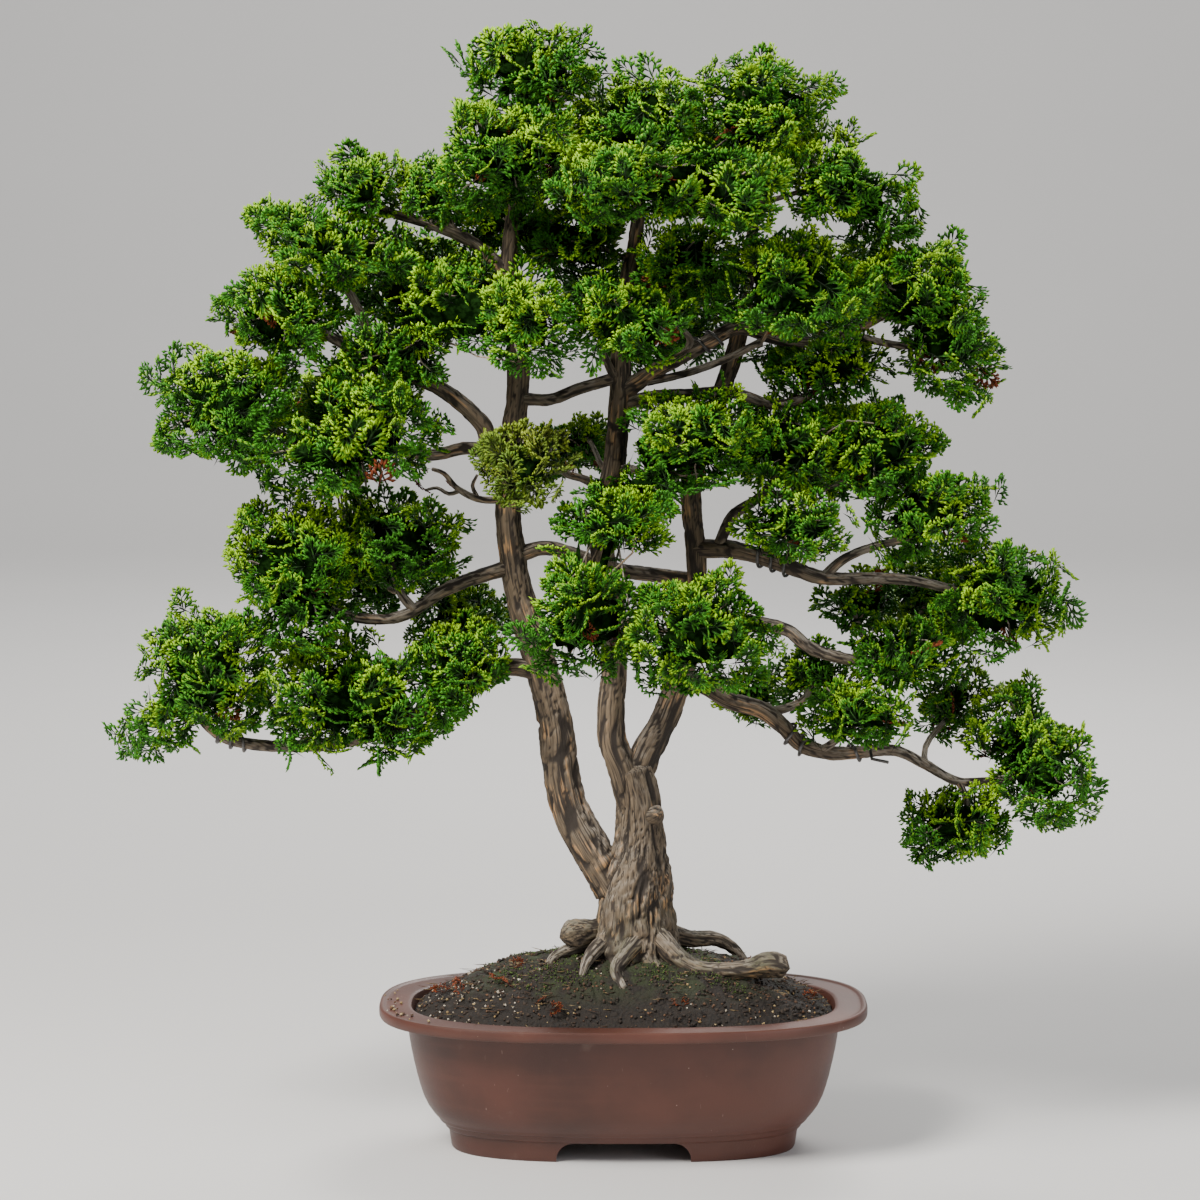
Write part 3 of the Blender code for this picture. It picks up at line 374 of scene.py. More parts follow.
def tube(points, radii, sides, relief=None):
    """Closed tube: ring radius at (row, angle) is the row's radius plus the relief there.

    Returns its vertices, triangles and its grain: each vertex's place on an unrolled limb, as
    (radius cos angle, radius sin angle, length along), which bark patterns read.
    """
    tangents, across, normal = path_frames(points)
    angles = np.arange(sides) * 2 * math.pi / sides
    reach = np.repeat(radii[:, None], sides, 1) + (0 if relief is None else relief)
    ring = (np.cos(angles)[None, :, None] * across[:, None] + np.sin(angles)[None, :, None] * normal[:, None])
    body = points[:, None] + reach[..., None] * ring
    ends = np.array((points[0] - tangents[0] * radii[0] * 0.5, points[-1] + tangents[-1] * radii[-1] * 0.6))
    along = lengths_along(points)
    grain = np.stack((radii[:, None] * np.cos(angles), radii[:, None] * np.sin(angles),
                      np.repeat(along[:, None], sides, 1)), -1)
    ends_grain = np.array(((0, 0, along[0]), (0, 0, along[-1])))
    return (np.vstack((body.reshape(-1, 3), ends)), grid_faces(len(points), sides),
            np.vstack((grain.reshape(-1, 3), ends_grain)))


def lattice(draw, u, v, around, beyond):
    """Value noise of a grid of random heights, smoothly blended, that closes after `around` cells."""
    heights = draw.random((around, beyond))
    i, j = np.floor(u).astype(int), np.floor(v).astype(int)
    s, t = u - i, v - j
    s, t = s * s * (3 - 2 * s), t * t * (3 - 2 * t)
    i0, i1, j0, j1 = i % around, (i + 1) % around, j % beyond, (j + 1) % beyond
    low = heights[i0, j0] * (1 - s) + heights[i1, j0] * s
    high = heights[i0, j1] * (1 - s) + heights[i1, j1] * s
    return low * (1 - t) + high * t


def scatter_noise(draw, places, scale):
    """Smooth noise at 3-D places: the mean of sines along nine random directions, about -1 to 1."""
    total = np.zeros(len(places))
    for _ in range(9):
        ray = unit(draw.normal(size=3)) * scale * draw.uniform(0.6, 1.5)
        total += np.sin(places @ ray + draw.uniform(0, 2 * math.pi))
    return total / 3.6


def join(parts):
    """One set of vertices, triangles and further per-vertex arrays from several."""
    offsets = np.concatenate(([0], np.cumsum([len(part[0]) for part in parts])[:-1]))
    faces = np.vstack([part[1] + offset for part, offset in zip(parts, offsets)])
    rest = [np.concatenate([part[k] for part in parts]) for k in range(2, len(parts[0]))]
    return (np.vstack([part[0] for part in parts]), faces, *rest)


def make_piece(name, vertices, faces, finish, slot, stands_for=(), smooth=True, **stored):
    """Puts arrays into a mesh object, with its finish and stored attributes, on the root body."""
    mesh = bpy.data.meshes.new(name)
    mesh.vertices.add(len(vertices))
    mesh.vertices.foreach_set("co", np.ascontiguousarray(vertices, np.float32).ravel())
    mesh.loops.add(faces.size)
    mesh.loops.foreach_set("vertex_index", np.ascontiguousarray(faces, np.int32).ravel())
    mesh.polygons.add(len(faces))
    mesh.polygons.foreach_set("loop_start", np.arange(len(faces), dtype=np.int32) * faces.shape[1])
    mesh.update(calc_edges=True)
    for key, values in stored.items():
        kind, field = ("FLOAT", "value") if values.ndim == 1 else ("FLOAT_VECTOR", "vector")
        layer = mesh.attributes.new(key, kind, "POINT")
        layer.data.foreach_set(field, np.ascontiguousarray(values, np.float32).ravel())
    if smooth:
        mesh.shade_smooth()
    mesh.materials.append(FINISH[finish])
    item = bpy.data.objects.new(name, mesh)
    bpy.context.scene.collection.objects.link(item)
    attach(item, "root")
    if stands_for:
        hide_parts(*stands_for)
    return item


def pot_ring(inset, height, segments):
    """The rim's squared oval moved in by the inset, at a height, both in metres."""
    angles = (np.arange(segments) + 0.5) * 2 * math.pi / segments
    power = 2 / POT_SQUARENESS
    x = (RIM_HALF[0] - inset) * np.sign(np.cos(angles)) * np.abs(np.cos(angles)) ** power
    y = (RIM_HALF[1] - inset) * np.sign(np.sin(angles)) * np.abs(np.sin(angles)) ** power
    return STAND + np.column_stack((x, y, np.full(segments, height)))


def stacked(rings):
    """Closed body through rings with the same number of points, with a middle point at each end."""
    vertices = np.vstack((*rings, rings[0].mean(0)[None], rings[-1].mean(0)[None]))
    return vertices, grid_faces(len(rings), len(rings[0]))


def soil_height(x, y, edge):
    """Height of the mound over the pot's foot: a dome over the squared oval, with low ripples."""
    rho = (np.abs(x / edge[0]) ** POT_SQUARENESS + np.abs(y / edge[1]) ** POT_SQUARENESS) ** (1 / POT_SQUARENESS)
    dome = np.clip(1 - rho ** 2, 0, 1) ** 0.85
    ripple = 0.0016 * np.sin(x * 95 + 1.3) * np.cos(y * 120 - 0.4) * np.clip(1 - rho ** 6, 0, 1)
    return SOIL_EDGE + SOIL_RISE * dome + ripple


class BarkSettings(bpy.types.PropertyGroup):
    ridge_depth: FloatProperty(name="Ridge depth", description="Depth of the bark's furrows as a share of the limb's radius", default=0.16, min=0.0, max=0.3)
    strip_width: FloatProperty(name="Strip width", description="Width of one strip of bark on a trunk", default=0.0047, unit="LENGTH", min=0.001)
    ridge_colour: FloatVectorProperty(name="Ridges", description="Colour of the bark's ridges", subtype="COLOR", default=(0.165, 0.118, 0.072), min=0, max=1)
    # Painted shade down in the furrows; also the colour of the fine dark split lines.
    furrow_colour: FloatVectorProperty(name="Furrows", description="Colour down in the furrows", subtype="COLOR", default=(0.022, 0.015, 0.010), min=0, max=1)
    peeled_colour: FloatVectorProperty(name="Peeled strips", description="Colour where the bark has peeled", subtype="COLOR", default=(0.42, 0.235, 0.10), min=0, max=1)
    # Colour of thin, weathered wood, and also a painted highlight on the upward faces of limbs.
    weathered_and_highlight_colour: FloatVectorProperty(name="Weathered wood", description="Colour of thin branches and of bare, weathered wood", subtype="COLOR", default=(0.36, 0.32, 0.27), min=0, max=1)


class FoliageSettings(bpy.types.PropertyGroup):
    sprays: IntProperty(name="Sprays", description="Number of leafy sprays on the whole tree", default=6300, min=100, max=6400)
    spray_length: FloatProperty(name="Spray length", description="Length of one spray from its stem to its tip", default=0.034, unit="LENGTH", min=0.01)
    # Also painted light: the tips of sprays that face up are pushed further towards this colour.
    tip_colour: FloatVectorProperty(name="Tips", description="Colour of the youngest tips", subtype="COLOR", default=(0.38, 0.66, 0.008), min=0, max=1)
    leaf_colour: FloatVectorProperty(name="Leaves", description="Colour of the grown leaves", subtype="COLOR", default=(0.045, 0.225, 0.006), min=0, max=1)
    # Painted shade inside the pads and on their dark cores; also the fine dark speckles between the scale leaves.
    deep_colour: FloatVectorProperty(name="Inside", description="Colour inside the pads", subtype="COLOR", default=(0.0025, 0.0080, 0.0015), min=0, max=1)
    olive_colour: FloatVectorProperty(name="Olive", description="Colour of the ageing pad in front", subtype="COLOR", default=(0.20, 0.19, 0.030), min=0, max=1)
    dead_colour: FloatVectorProperty(name="Dead sprays", description="Colour of dried sprays", subtype="COLOR", default=(0.26, 0.052, 0.014), min=0, max=1)


class PotSettings(bpy.types.PropertyGroup):
    clay_colour: FloatVectorProperty(name="Clay", description="Colour of the unglazed clay", subtype="COLOR", default=(0.066, 0.0205, 0.0125), min=0, max=1)
    segments: IntProperty(name="Segments", description="Points round the pot", default=176, min=32, max=256)


class SoilSettings(bpy.types.PropertyGroup):
    earth_colour: FloatVectorProperty(name="Earth", description="Colour of the damp soil", subtype="COLOR", default=(0.0165, 0.0100, 0.0058), min=0, max=1)
    moss_colour: FloatVectorProperty(name="Moss", description="Colour of the moss", subtype="COLOR", default=(0.020, 0.030, 0.006), min=0, max=1)
    grains: IntProperty(name="Grains", description="Number of loose grains on the soil", default=3000, min=0, max=4000)


class WireSettings(bpy.types.PropertyGroup):
    wire_radius: FloatProperty(name="Radius", description="Radius of the training wire", default=0.0014, unit="LENGTH", min=0.0005)
    wire_colour: FloatVectorProperty(name="Wire", description="Colour of the anodised wire", subtype="COLOR", default=(0.16, 0.15, 0.145), min=0, max=1)


class StageSettings(bpy.types.PropertyGroup):
    floor_colour: FloatVectorProperty(name="Floor", description="Colour of the floor", subtype="COLOR", default=(0.62, 0.61, 0.60), min=0, max=1)
    key_power: FloatProperty(name="Key light", description="Power of the main light", default=200.0, unit="POWER", min=0)


def bark_relief(draw, radii, along, sides, width, depth):
    """Bark as a height over (row, angle), and how deep in a furrow each place lies.

    Noise cells one strip wide and several strips long wander round the limb. Where their value
    passes a half there is a furrow. Finer cells roughen the ridges between.
    """
    around = max(5, round(2 * math.pi * float(radii.mean()) / width))
    angle = np.arange(sides) / sides
    sway = 0.6 * np.sin(along * 38 + draw.uniform(0, 6)) + 0.35 * np.sin(along * 91 + draw.uniform(0, 6))
    u = angle[None] * around + sway[:, None]
    v = np.repeat((along / (width * 7.5))[:, None], sides, 1)
    strips = lattice(draw, u, v, around, 97)
    thin = lattice(draw, 2 * u + 7, v * 2.7, 2 * around, 131)
    flakes = lattice(draw, 3 * u, v * 7.5, 3 * around, 211)
    furrow = np.clip(1 - np.abs(2 * strips - 1) / 0.23, 0, 1) ** 1.1
    crack = np.clip(1 - np.abs(2 * thin - 1) / 0.20, 0, 1) * 0.62
    deep = np.clip(np.maximum(furrow, crack), 0, 1)
    lump = lattice(draw, angle[None] * 3 + 0 * u, np.repeat((along / 0.042)[:, None], sides, 1), 3, 53) - 0.5
    height = radii[:, None] * (depth * (0.45 * flakes - deep + 0.25 * thin) + 0.10 * lump)
    return height, deep


def limb(draw, places, step, sides, width, depth, flutes=0.0):
    """One limb's tube with bark: vertices, triangles, grain, furrow depth and thickness."""
    points, radii = smooth_path(places, step)
    along = lengths_along(points)
    relief, deep = bark_relief(draw, radii, along, sides, width, depth)
    if flutes:
        angles = np.arange(sides) * 2 * math.pi / sides
        wave = (np.cos(5 * angles[None] + along[:, None] * 22)
                + 0.7 * np.cos(3 * angles[None] - along[:, None] * 31))
        relief = relief + radii[:, None] * flutes * wave
    vertices, faces, grain = tube(points, radii, sides, relief)
    grain[:, 2] += draw.uniform(0, 9)
    deep = np.concatenate((deep.ravel(), (0.3, 0.3)))
    thickness = np.concatenate((np.repeat(radii, sides), (radii[0], radii[-1])))
    return vertices, faces, grain, deep, thickness


def bark_finish(settings):
    """Grey brown ridges over furrows painted dark as shade, peeled golden strips, pale thin wood, a painted highlight
    on the upward faces of limbs, and moss low down.
    """
    bark = Finish("bark", 0.82)
    grain = bark.stored("grain", 1)
    place = bark.place()
    deep, thick = bark.stored("deep"), bark.stored("thick")
    strips = bark.noise(bark.scaled(grain, (420, 420, 30)), 1.0, 4.0)
    flecks = bark.noise(bark.scaled(grain, (1300, 1300, 190)), 1.0, 3.0)
    patches = bark.noise(place, 26.0, 3.0)
    colour = bark.mix(strips.ramp(0.36, 0.66), tuple(0.5 * c for c in settings.ridge_colour), settings.ridge_colour)
    colour = bark.mix((strips * patches * 2.0).ramp(0.60, 0.74) * 0.85, colour, settings.peeled_colour)
    thin = thick.ramp(0.0075, 0.0035)
    upward = bark.node("ShaderNodeSeparateXYZ", None, [bark.node("ShaderNodeNewGeometry", output=1)], 2)
    # Painted highlight: upward-facing bark is mixed towards the pale colour as if lit from above; the share from thin
    # limbs is their own weathered grey.
    pale = (thin * 0.45 + upward.ramp(-0.1, 0.7) * 0.55) * flecks.ramp(0.35, 0.52) * patches.ramp(0.28, 0.52)
    colour = bark.mix(pale * 0.9, colour, settings.weathered_and_highlight_colour)
    height = bark.node("ShaderNodeSeparateXYZ", None, [place], 2)
    moss = height.ramp(0.235, 0.165) * patches.ramp(0.42, 0.62) * (upward.ramp(-0.6, 0.7) * 0.7 + 0.3)
    colour = bark.mix(moss * 0.75, colour, (0.036, 0.042, 0.012))
    splits = bark.noise(bark.scaled(grain, (620, 620, 22)), 1.0, 2.0)
    colour = bark.mix(splits.ramp(0.47, 0.39) * (1.0 - thin * 0.35) * 0.9, colour, settings.furrow_colour)
    # Painted shade: bark sunk in the furrows is darkened by its depth, as shade in the recesses.
    colour = bark.mix((deep * 1.3).ramp(0.10, 0.85), colour, settings.furrow_colour)
    bump = bark.bump(strips * 0.5 + flecks * 0.3 + splits * 0.5, 0.0014, 1.0)
    return bark.feed(Base_Color=colour, Roughness=0.75 + flecks * 0.2, Normal=bump)


class GrowTrunks(bpy.types.Operator):
    """Builds the root flare and the three trunks, with furrowed bark"""

    bl_idname = "bonsai.grow_trunks"
    bl_label = "Grow trunks"

    def execute(self, context):
        settings = context.scene.bonsai_bark
        bark_finish(settings)
        draw = np.random.default_rng(3)
        width, depth = settings.strip_width, settings.ridge_depth
        parts = [limb(draw, BASE, 0.0022, 104, width * 1.15, depth * 0.85, 0.055)]
        parts += [limb(draw, places, 0.0028, 40, width, depth, 0.04) for places in TRUNKS.values()]
        vertices, faces, grain, deep, thick = join(parts)
        make_piece("trunks", vertices, faces, "bark", "bark", ("wood",), grain=grain, deep=deep, thick=thick)
        return {"FINISHED"}


class GrowBranches(bpy.types.Operator):
    """Builds the branches, roots and knobs, with finer bark"""

    bl_idname = "bonsai.grow_branches"
    bl_label = "Grow branches and roots"

    def execute(self, context):
        settings = context.scene.bonsai_bark
        draw = np.random.default_rng(4)
        width, depth = settings.strip_width, settings.ridge_depth
        parts = [limb(draw, places, 0.0020, 34, width * 0.8, depth * 1.1, 0.05) for places in ROOTS.values()]
        parts += [limb(draw, places, 0.0036, 18 if places[0][3] > 6 else 14, width * 0.62, depth * 0.85)
                  for places in BRANCHES.values()]
        vertices, faces, grain, deep, thick = join(parts)
        make_piece("branches_and_roots", vertices, faces, "bark", "bark", ("wood",), grain=grain, deep=deep, thick=thick)
        return {"FINISHED"}


def kite(start, end, width, droop):
    """Four points of a leafy finger: both ends of its ridge, then its two lowered side corners."""
    start, end = np.asarray(start, float), np.asarray(end, float)
    along = end - start
    side = unit(np.array((-along[1], along[0], 0.0))) * width / 2
    middle = start + along * 0.68 - np.array((0, 0, droop))
    return np.array((start, end, middle + side, middle - side))


KITE_FACES = np.array(((0, 1, 2), (0, 3, 1), (0, 2, 3), (1, 3, 2)))


def spray_template(draw):
    """A leafy spray of unit length, lying along x and spread over y: vertices, faces and tip share.

    A stem carries side shoots in turn to left and right, longest in the middle of the stem, and
    each side shoot ends in short fingers. The tip share grows from 0 at the stem's foot to 1 at
    the end of the last fingers. The whole is cupped by raising z with the square of y.
    """
    curl = draw.uniform(-0.12, 0.20)

    def raised(place):
        x, y = place[0], place[1]
        return np.array((x, y, 0.55 * y * y + curl * x * x))

    fingers = [((0, 0), (0.66, 0), 0.055, 0.0, 0.45)]
    for k, (start, reach, lean) in enumerate(((0.20, 0.40, 54), (0.28, 0.42, 48), (0.38, 0.40, 43),
                                              (0.46, 0.37, 38), (0.55, 0.32, 32), (0.61, 0.28, 28))):
        side = 1 if k % 2 else -1
        lean = math.radians(lean + draw.uniform(-6, 6)) * side
        reach *= draw.uniform(0.86, 1.12)
        ray = np.array((math.cos(lean), math.sin(lean)))
        foot = np.array((start, 0))
        fingers.append((foot, foot + ray * reach, 0.080, 0.10, 0.95))
        for share, turn, length in ((0.40, 0.62, 0.21), (0.62, -0.58, 0.19), (0.80, 0.5, 0.16)):
            bend = lean + turn * side * draw.uniform(0.8, 1.25)
            begin = foot + ray * reach * share
            end = begin + np.array((math.cos(bend), math.sin(bend))) * length * draw.uniform(0.85, 1.2)
            fingers.append((begin, end, 0.086, 0.45, 1.0))
    for start, turn, length in ((0.60, 0.0, 0.40), (0.68, 0.52, 0.22), (0.74, -0.52, 0.22), (0.84, 0.4, 0.15)):
        begin = np.array((start, 0))
        end = begin + np.array((math.cos(turn), math.sin(turn))) * length
        fingers.append((begin, end, 0.086, 0.5, 1.0))
    vertices, tips = [], []
    for start, end, width, low, high in fingers:
        lift = np.array((0, 0, draw.uniform(-0.022, 0.022)))
        vertices.append(kite(raised(start) + lift, raised(end) + lift, width * draw.uniform(0.9, 1.15), 0.45 * width))
        middle = 0.35 * low + 0.65 * high
        tips.append((low, high, middle * 0.92, middle * 0.92))
    faces = np.vstack([KITE_FACES + 4 * k for k in range(len(fingers))])
    return np.vstack(vertices), faces, np.concatenate(tips)


def pad_surface(node):
    """A CAD pad's own triangles: corners, middles, normals and areas."""
    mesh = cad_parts[node].data
    mesh.calc_loop_triangles()
    points = np.empty(len(mesh.vertices) * 3, np.float32)
    mesh.vertices.foreach_get("co", points)
    index = np.empty(len(mesh.loop_triangles) * 3, np.int32)
    mesh.loop_triangles.foreach_get("vertices", index)
    corners = points.reshape(-1, 3)[index].reshape(-1, 3, 3).astype(float)
    cross = np.cross(corners[:, 1] - corners[:, 0], corners[:, 2] - corners[:, 0])
    return corners, corners.mean(1), unit(cross), np.linalg.norm(cross, axis=1) / 2


def clump_centres(middles, areas):
    """The middles of a pad's one or two clumps, by area, from its two ends along its long way."""
    centre = np.average(middles, axis=0, weights=areas)
    spread = np.cov((middles - centre).T, aweights=areas)
    sizes, axes = np.linalg.eigh(spread)
    if math.sqrt(sizes[2] / sizes[1]) < 1.42:
        return centre[None]
    centres = centre + np.outer((-1, 1), axes[:, 2]) * math.sqrt(sizes[2])
    for _ in range(8):
        near = np.linalg.norm(middles[:, None] - centres[None], axis=2).argmin(1)
        centres = np.array([np.average(middles[near == k], axis=0, weights=areas[near == k]) for k in (0, 1)])
    return centres


def spread_points(draw, surface, centres, count):
    """Evenly scattered places on a pad's outer surface, each with its way out from its clump."""
    corners, middles, normals, areas = surface
    home = centres[np.linalg.norm(middles[:, None] - centres[None], axis=2).argmin(1)]
    outward = unit(middles - home)
    weight = areas * np.clip((normals * outward).sum(1) + 0.35, 0, 1)
    picks = draw.choice(len(areas), size=count * 7, p=weight / weight.sum())
    a, b = draw.random((2, count * 7))
    flip = a + b > 1
    a[flip], b[flip] = 1 - a[flip], 1 - b[flip]
    places = (corners[picks, 0] * (1 - a - b)[:, None] + corners[picks, 1] * a[:, None]
              + corners[picks, 2] * b[:, None])
    places = places.reshape(count, 7, 3)
    chosen = np.empty((count, 3))
    kept = np.empty(count, int)
    for k in range(count):
        best = 0
        if k:
            best = np.linalg.norm(places[k][:, None] - chosen[None, :k], axis=2).min(1).argmax()
        chosen[k], kept[k] = places[k][best], picks[k * 7 + best]
    return chosen, unit(chosen - home[kept]), normals[kept], home[kept]


def place_sprays(draw, templates, roots, ways, faces_up, lengths):
    """Copies of the spray templates, each turned so that x runs along its way and z its flat's normal."""
    across = unit(np.cross(faces_up, ways))
    lift = np.cross(ways, across)
    basis = np.stack((ways, across, lift), 1) * lengths[:, None, None]
    kinds = draw.integers(len(templates), size=len(roots))
    parts = []
    for kind, (vertices, faces, tips) in enumerate(templates):
        which = np.flatnonzero(kinds == kind)
        if not len(which):
            continue
        placed = np.einsum("vk,skj->svj", vertices, basis[which]) + roots[which][:, None]
        index = faces[None] + (np.arange(len(which)) * len(vertices))[:, None, None]
        parts.append((placed.reshape(-1, 3), index.reshape(-1, 3), np.tile(tips, len(which)),
                      np.repeat(which, len(vertices))))
    return join(parts)


def foliage_finish(settings):
    """Scale leaves: painted shade inside a pad, green on the fingers and yellow green at the tips, yellower on sprays
    that face up as painted light.
    """
    leaf = Finish("foliage", 0.5, Specular_IOR_Level=0.25)
    tip, tone, kind = leaf.stored("tip"), leaf.stored("tone"), leaf.stored("kind")
    place = leaf.place()
    patches = leaf.noise(place, 18.0, 2.0)
    scales = leaf.noise(place, 900.0, 2.0)
    # The tone carries painted light: sprays that face up have a higher tone and so yellower tips; the rest is young
    # growth and random patches.
    young = ((tip - 0.66) * 2.3 + (tone - 0.55) * 1.3 + (patches - 0.5) * 1.8).ramp(0.0, 1.0)
    # Painted shade: each finger is darkened towards its root, deep in the pad, and green towards its tip.
    colour = leaf.mix(tip.ramp(0.10, 0.80), settings.deep_colour, settings.leaf_colour)
    colour = leaf.mix(young, colour, settings.tip_colour)
    colour = leaf.mix(kind.ramp(0.4, 0.6) * (0.35 + tone * 0.4) * tip.ramp(0.0, 0.6), colour, settings.olive_colour)
    dead = leaf.mix(tip, tuple(0.35 * c for c in settings.dead_colour), settings.dead_colour)
    colour = leaf.mix(kind.ramp(1.4, 1.6), colour, dead)
    colour = leaf.mix(scales.ramp(0.60, 0.40) * 0.45, colour, settings.deep_colour)
    bump = leaf.bump(scales, 0.0004, 0.5)
    return leaf.feed(Base_Color=colour, Roughness=0.88 - tip * 0.40, Normal=bump)


def pad_piece(name, count, settings, templates):
    """One pad of sprays that stand out of it all over. Returns its shrunken core, to go inside as a near-black body of
    painted shade.
    """
    draw = np.random.default_rng(sum(map(ord, name)))
    surface = pad_surface(name)
    centres = clump_centres(surface[1], surface[3])
    places, outward, normals, home = spread_points(draw, surface, centres, count)
    lengths = settings.spray_length * draw.uniform(0.80, 1.18, count)
    ways = unit(outward * 0.85 + normals * 0.25 + (0, 0, 0.22) + draw.normal(scale=0.26, size=(count, 3)))
    faces_up = np.array((0, 0, 1.0)) + 0.35 * outward + draw.normal(scale=0.62, size=(count, 3))
    shingled = (draw.random(count) < 0.52)[:, None]
    along = unit(np.cross(outward, draw.normal(size=(count, 3))) + (0, 0, 0.45))
    ways = np.where(shingled, unit(outward * 0.50 + along * 0.75), ways)
    faces_up = np.where(shingled, outward + draw.normal(scale=0.30, size=(count, 3)), faces_up)
    deep = np.where(draw.random(count) < 0.18, draw.uniform(1.0, 1.35, count), draw.uniform(0.60, 0.88, count))
    deep = np.where(shingled[:, 0], draw.uniform(0.45, 0.80, count), deep)
    roots = home + (places - home) * 1.06 - ways * (lengths * deep)[:, None]
    vertices, faces, tip, which = place_sprays(draw, templates, roots, ways, faces_up, lengths)
    tone = draw.random(count) * np.where(deep > 0.95, 0.2, 1.0)
    dead = draw.random(count) < np.where((deep > 0.8) & (outward[:, 2] < 0.3), 0.075, 0.002)
    kind = np.where(dead, 2.0, 1.0 if name in OLIVE_PADS else 0.0)
    # Painted light: a spray's tone rises with how far it faces up, so sprays on the tops of pads get yellower tips as
    # if lit from above; sprays set deepest get a low tone.
    light = np.clip(0.5 + 0.5 * outward[:, 2], 0, 1)
    slot = "foliage_olive" if name in OLIVE_PADS else "foliage"
    make_piece("leaves_" + name, vertices, faces, "foliage", slot, (name,),
               tip=tip, tone=(0.65 * tone + 0.35 * light)[which], kind=kind[which])
    corners = surface[0].reshape(-1, 3)
    near = centres[np.linalg.norm(corners[:, None] - centres[None], axis=2).argmin(1)]
    return welded(near + (corners - near) * 0.58)


def welded(corners):
    """Loose triangle corners made one where they meet: vertices and triangles."""
    _, first, index = np.unique(np.round(corners, 6), axis=0, return_index=True, return_inverse=True)
    faces = index.reshape(-1, 3)
    whole = (faces[:, 0] != faces[:, 1]) & (faces[:, 1] != faces[:, 2]) & (faces[:, 0] != faces[:, 2])
    return corners[first], faces[whole]


def pad_names():
    return [name for name in sorted(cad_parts) if name not in NOT_FOLIAGE]


class GrowFoliage(bpy.types.Operator):
    """Covers each pad with leafy sprays in place of its plain solid"""

    bl_idname = "bonsai.grow_foliage"
    bl_label = "Grow foliage"

    def execute(self, context):
        settings = context.scene.bonsai_foliage
        foliage_finish(settings)
        draw = np.random.default_rng(11)
        templates = [spray_template(draw) for _ in range(8)]
        areas = {name: pad_surface(name)[3].sum() for name in pad_names()}
        whole = sum(areas.values())
        cores = [pad_piece(name, max(20, round(settings.sprays * area / whole)), settings, templates)
                 for name, area in areas.items()]
        # Painted shade: the pads' shrunken cores make one near-black body that stands in for the shade between the
        # sprays, with a faint mottle.
        shade = Finish("inner_foliage", 1.0, Specular_IOR_Level=0.0)
        mottle = shade.noise(shade.place(), 160.0, 3.0)
        dark, light = (tuple(f * c for c in settings.deep_colour) for f in (0.8, 3.0))
        shade.feed(Base_Color=shade.mix(mottle.ramp(0.4, 0.62), dark, light))
        make_piece("inner_leaves_painted_shade", *join(cores), "inner_foliage", "foliage", pad_names())
        return {"FINISHED"}


def twig(draw, start, end, thick, thin, sides=5, rows=7):
    """A thin twig from start to end: a sagging line with a slow random sway, thinner to its end."""
    share = np.linspace(0, 1, rows)
    length = float(np.linalg.norm(end - start))
    sway = unit(draw.normal(size=3)) * length * 0.07
    points = start + (end - start) * share[:, None]
    points = points + np.sin(share * math.pi)[:, None] * (0, 0, 0.05 * length)
    points = points + np.sin(share * 2 * math.pi)[:, None] * sway
    radii = thick + (thin - thick) * share
    vertices, faces, grain = tube(points, radii, sides)
    grain[:, 2] += draw.uniform(0, 9)
    thickness = np.concatenate((np.repeat(radii, sides), (thick, thin)))
    return vertices, faces, grain, np.zeros(len(vertices)), thickness


class GrowTwigs(bpy.types.Operator):
    """Runs a twig from the nearest limb into each clump, and finer twigs out from there"""

    bl_idname = "bonsai.grow_twigs"
    bl_label = "Grow twigs"

    def execute(self, context):
        draw = np.random.default_rng(21)
        limbs = [smooth_path(places, 0.010) for places in (*TRUNKS.values(), *BRANCHES.values())]
        stations = np.vstack([points[2:] for points, _ in limbs])
        thickness = np.concatenate([radii[2:] for _, radii in limbs])
        parts = []
        for name in pad_names():
            surface = pad_surface(name)
            centres = clump_centres(surface[1], surface[3])
            for centre in centres:
                cost = np.linalg.norm(stations - centre, axis=1) + 1.2 * np.clip(stations[:, 2] - centre[2] + 0.012, 0, 1)
                nearest = int(cost.argmin())
                thick = min(0.0032, 0.7 * float(thickness[nearest]))
                parts.append(twig(draw, stations[nearest], centre, thick, 0.0018, 6, 9))
                places = spread_points(draw, surface, centre[None], 8)[0]
                for place in places:
                    begin = centre + (stations[nearest] - centre) * draw.uniform(0.0, 0.3)
                    parts.append(twig(draw, begin, centre + (place - centre) * 0.86, 0.0013, 0.0006, 4, 5))
        vertices, faces, grain, deep, thick = join(parts)
        make_piece("twigs", vertices, faces, "bark", "bark", ("wood",), grain=grain, deep=deep, thick=thick)
        return {"FINISHED"}


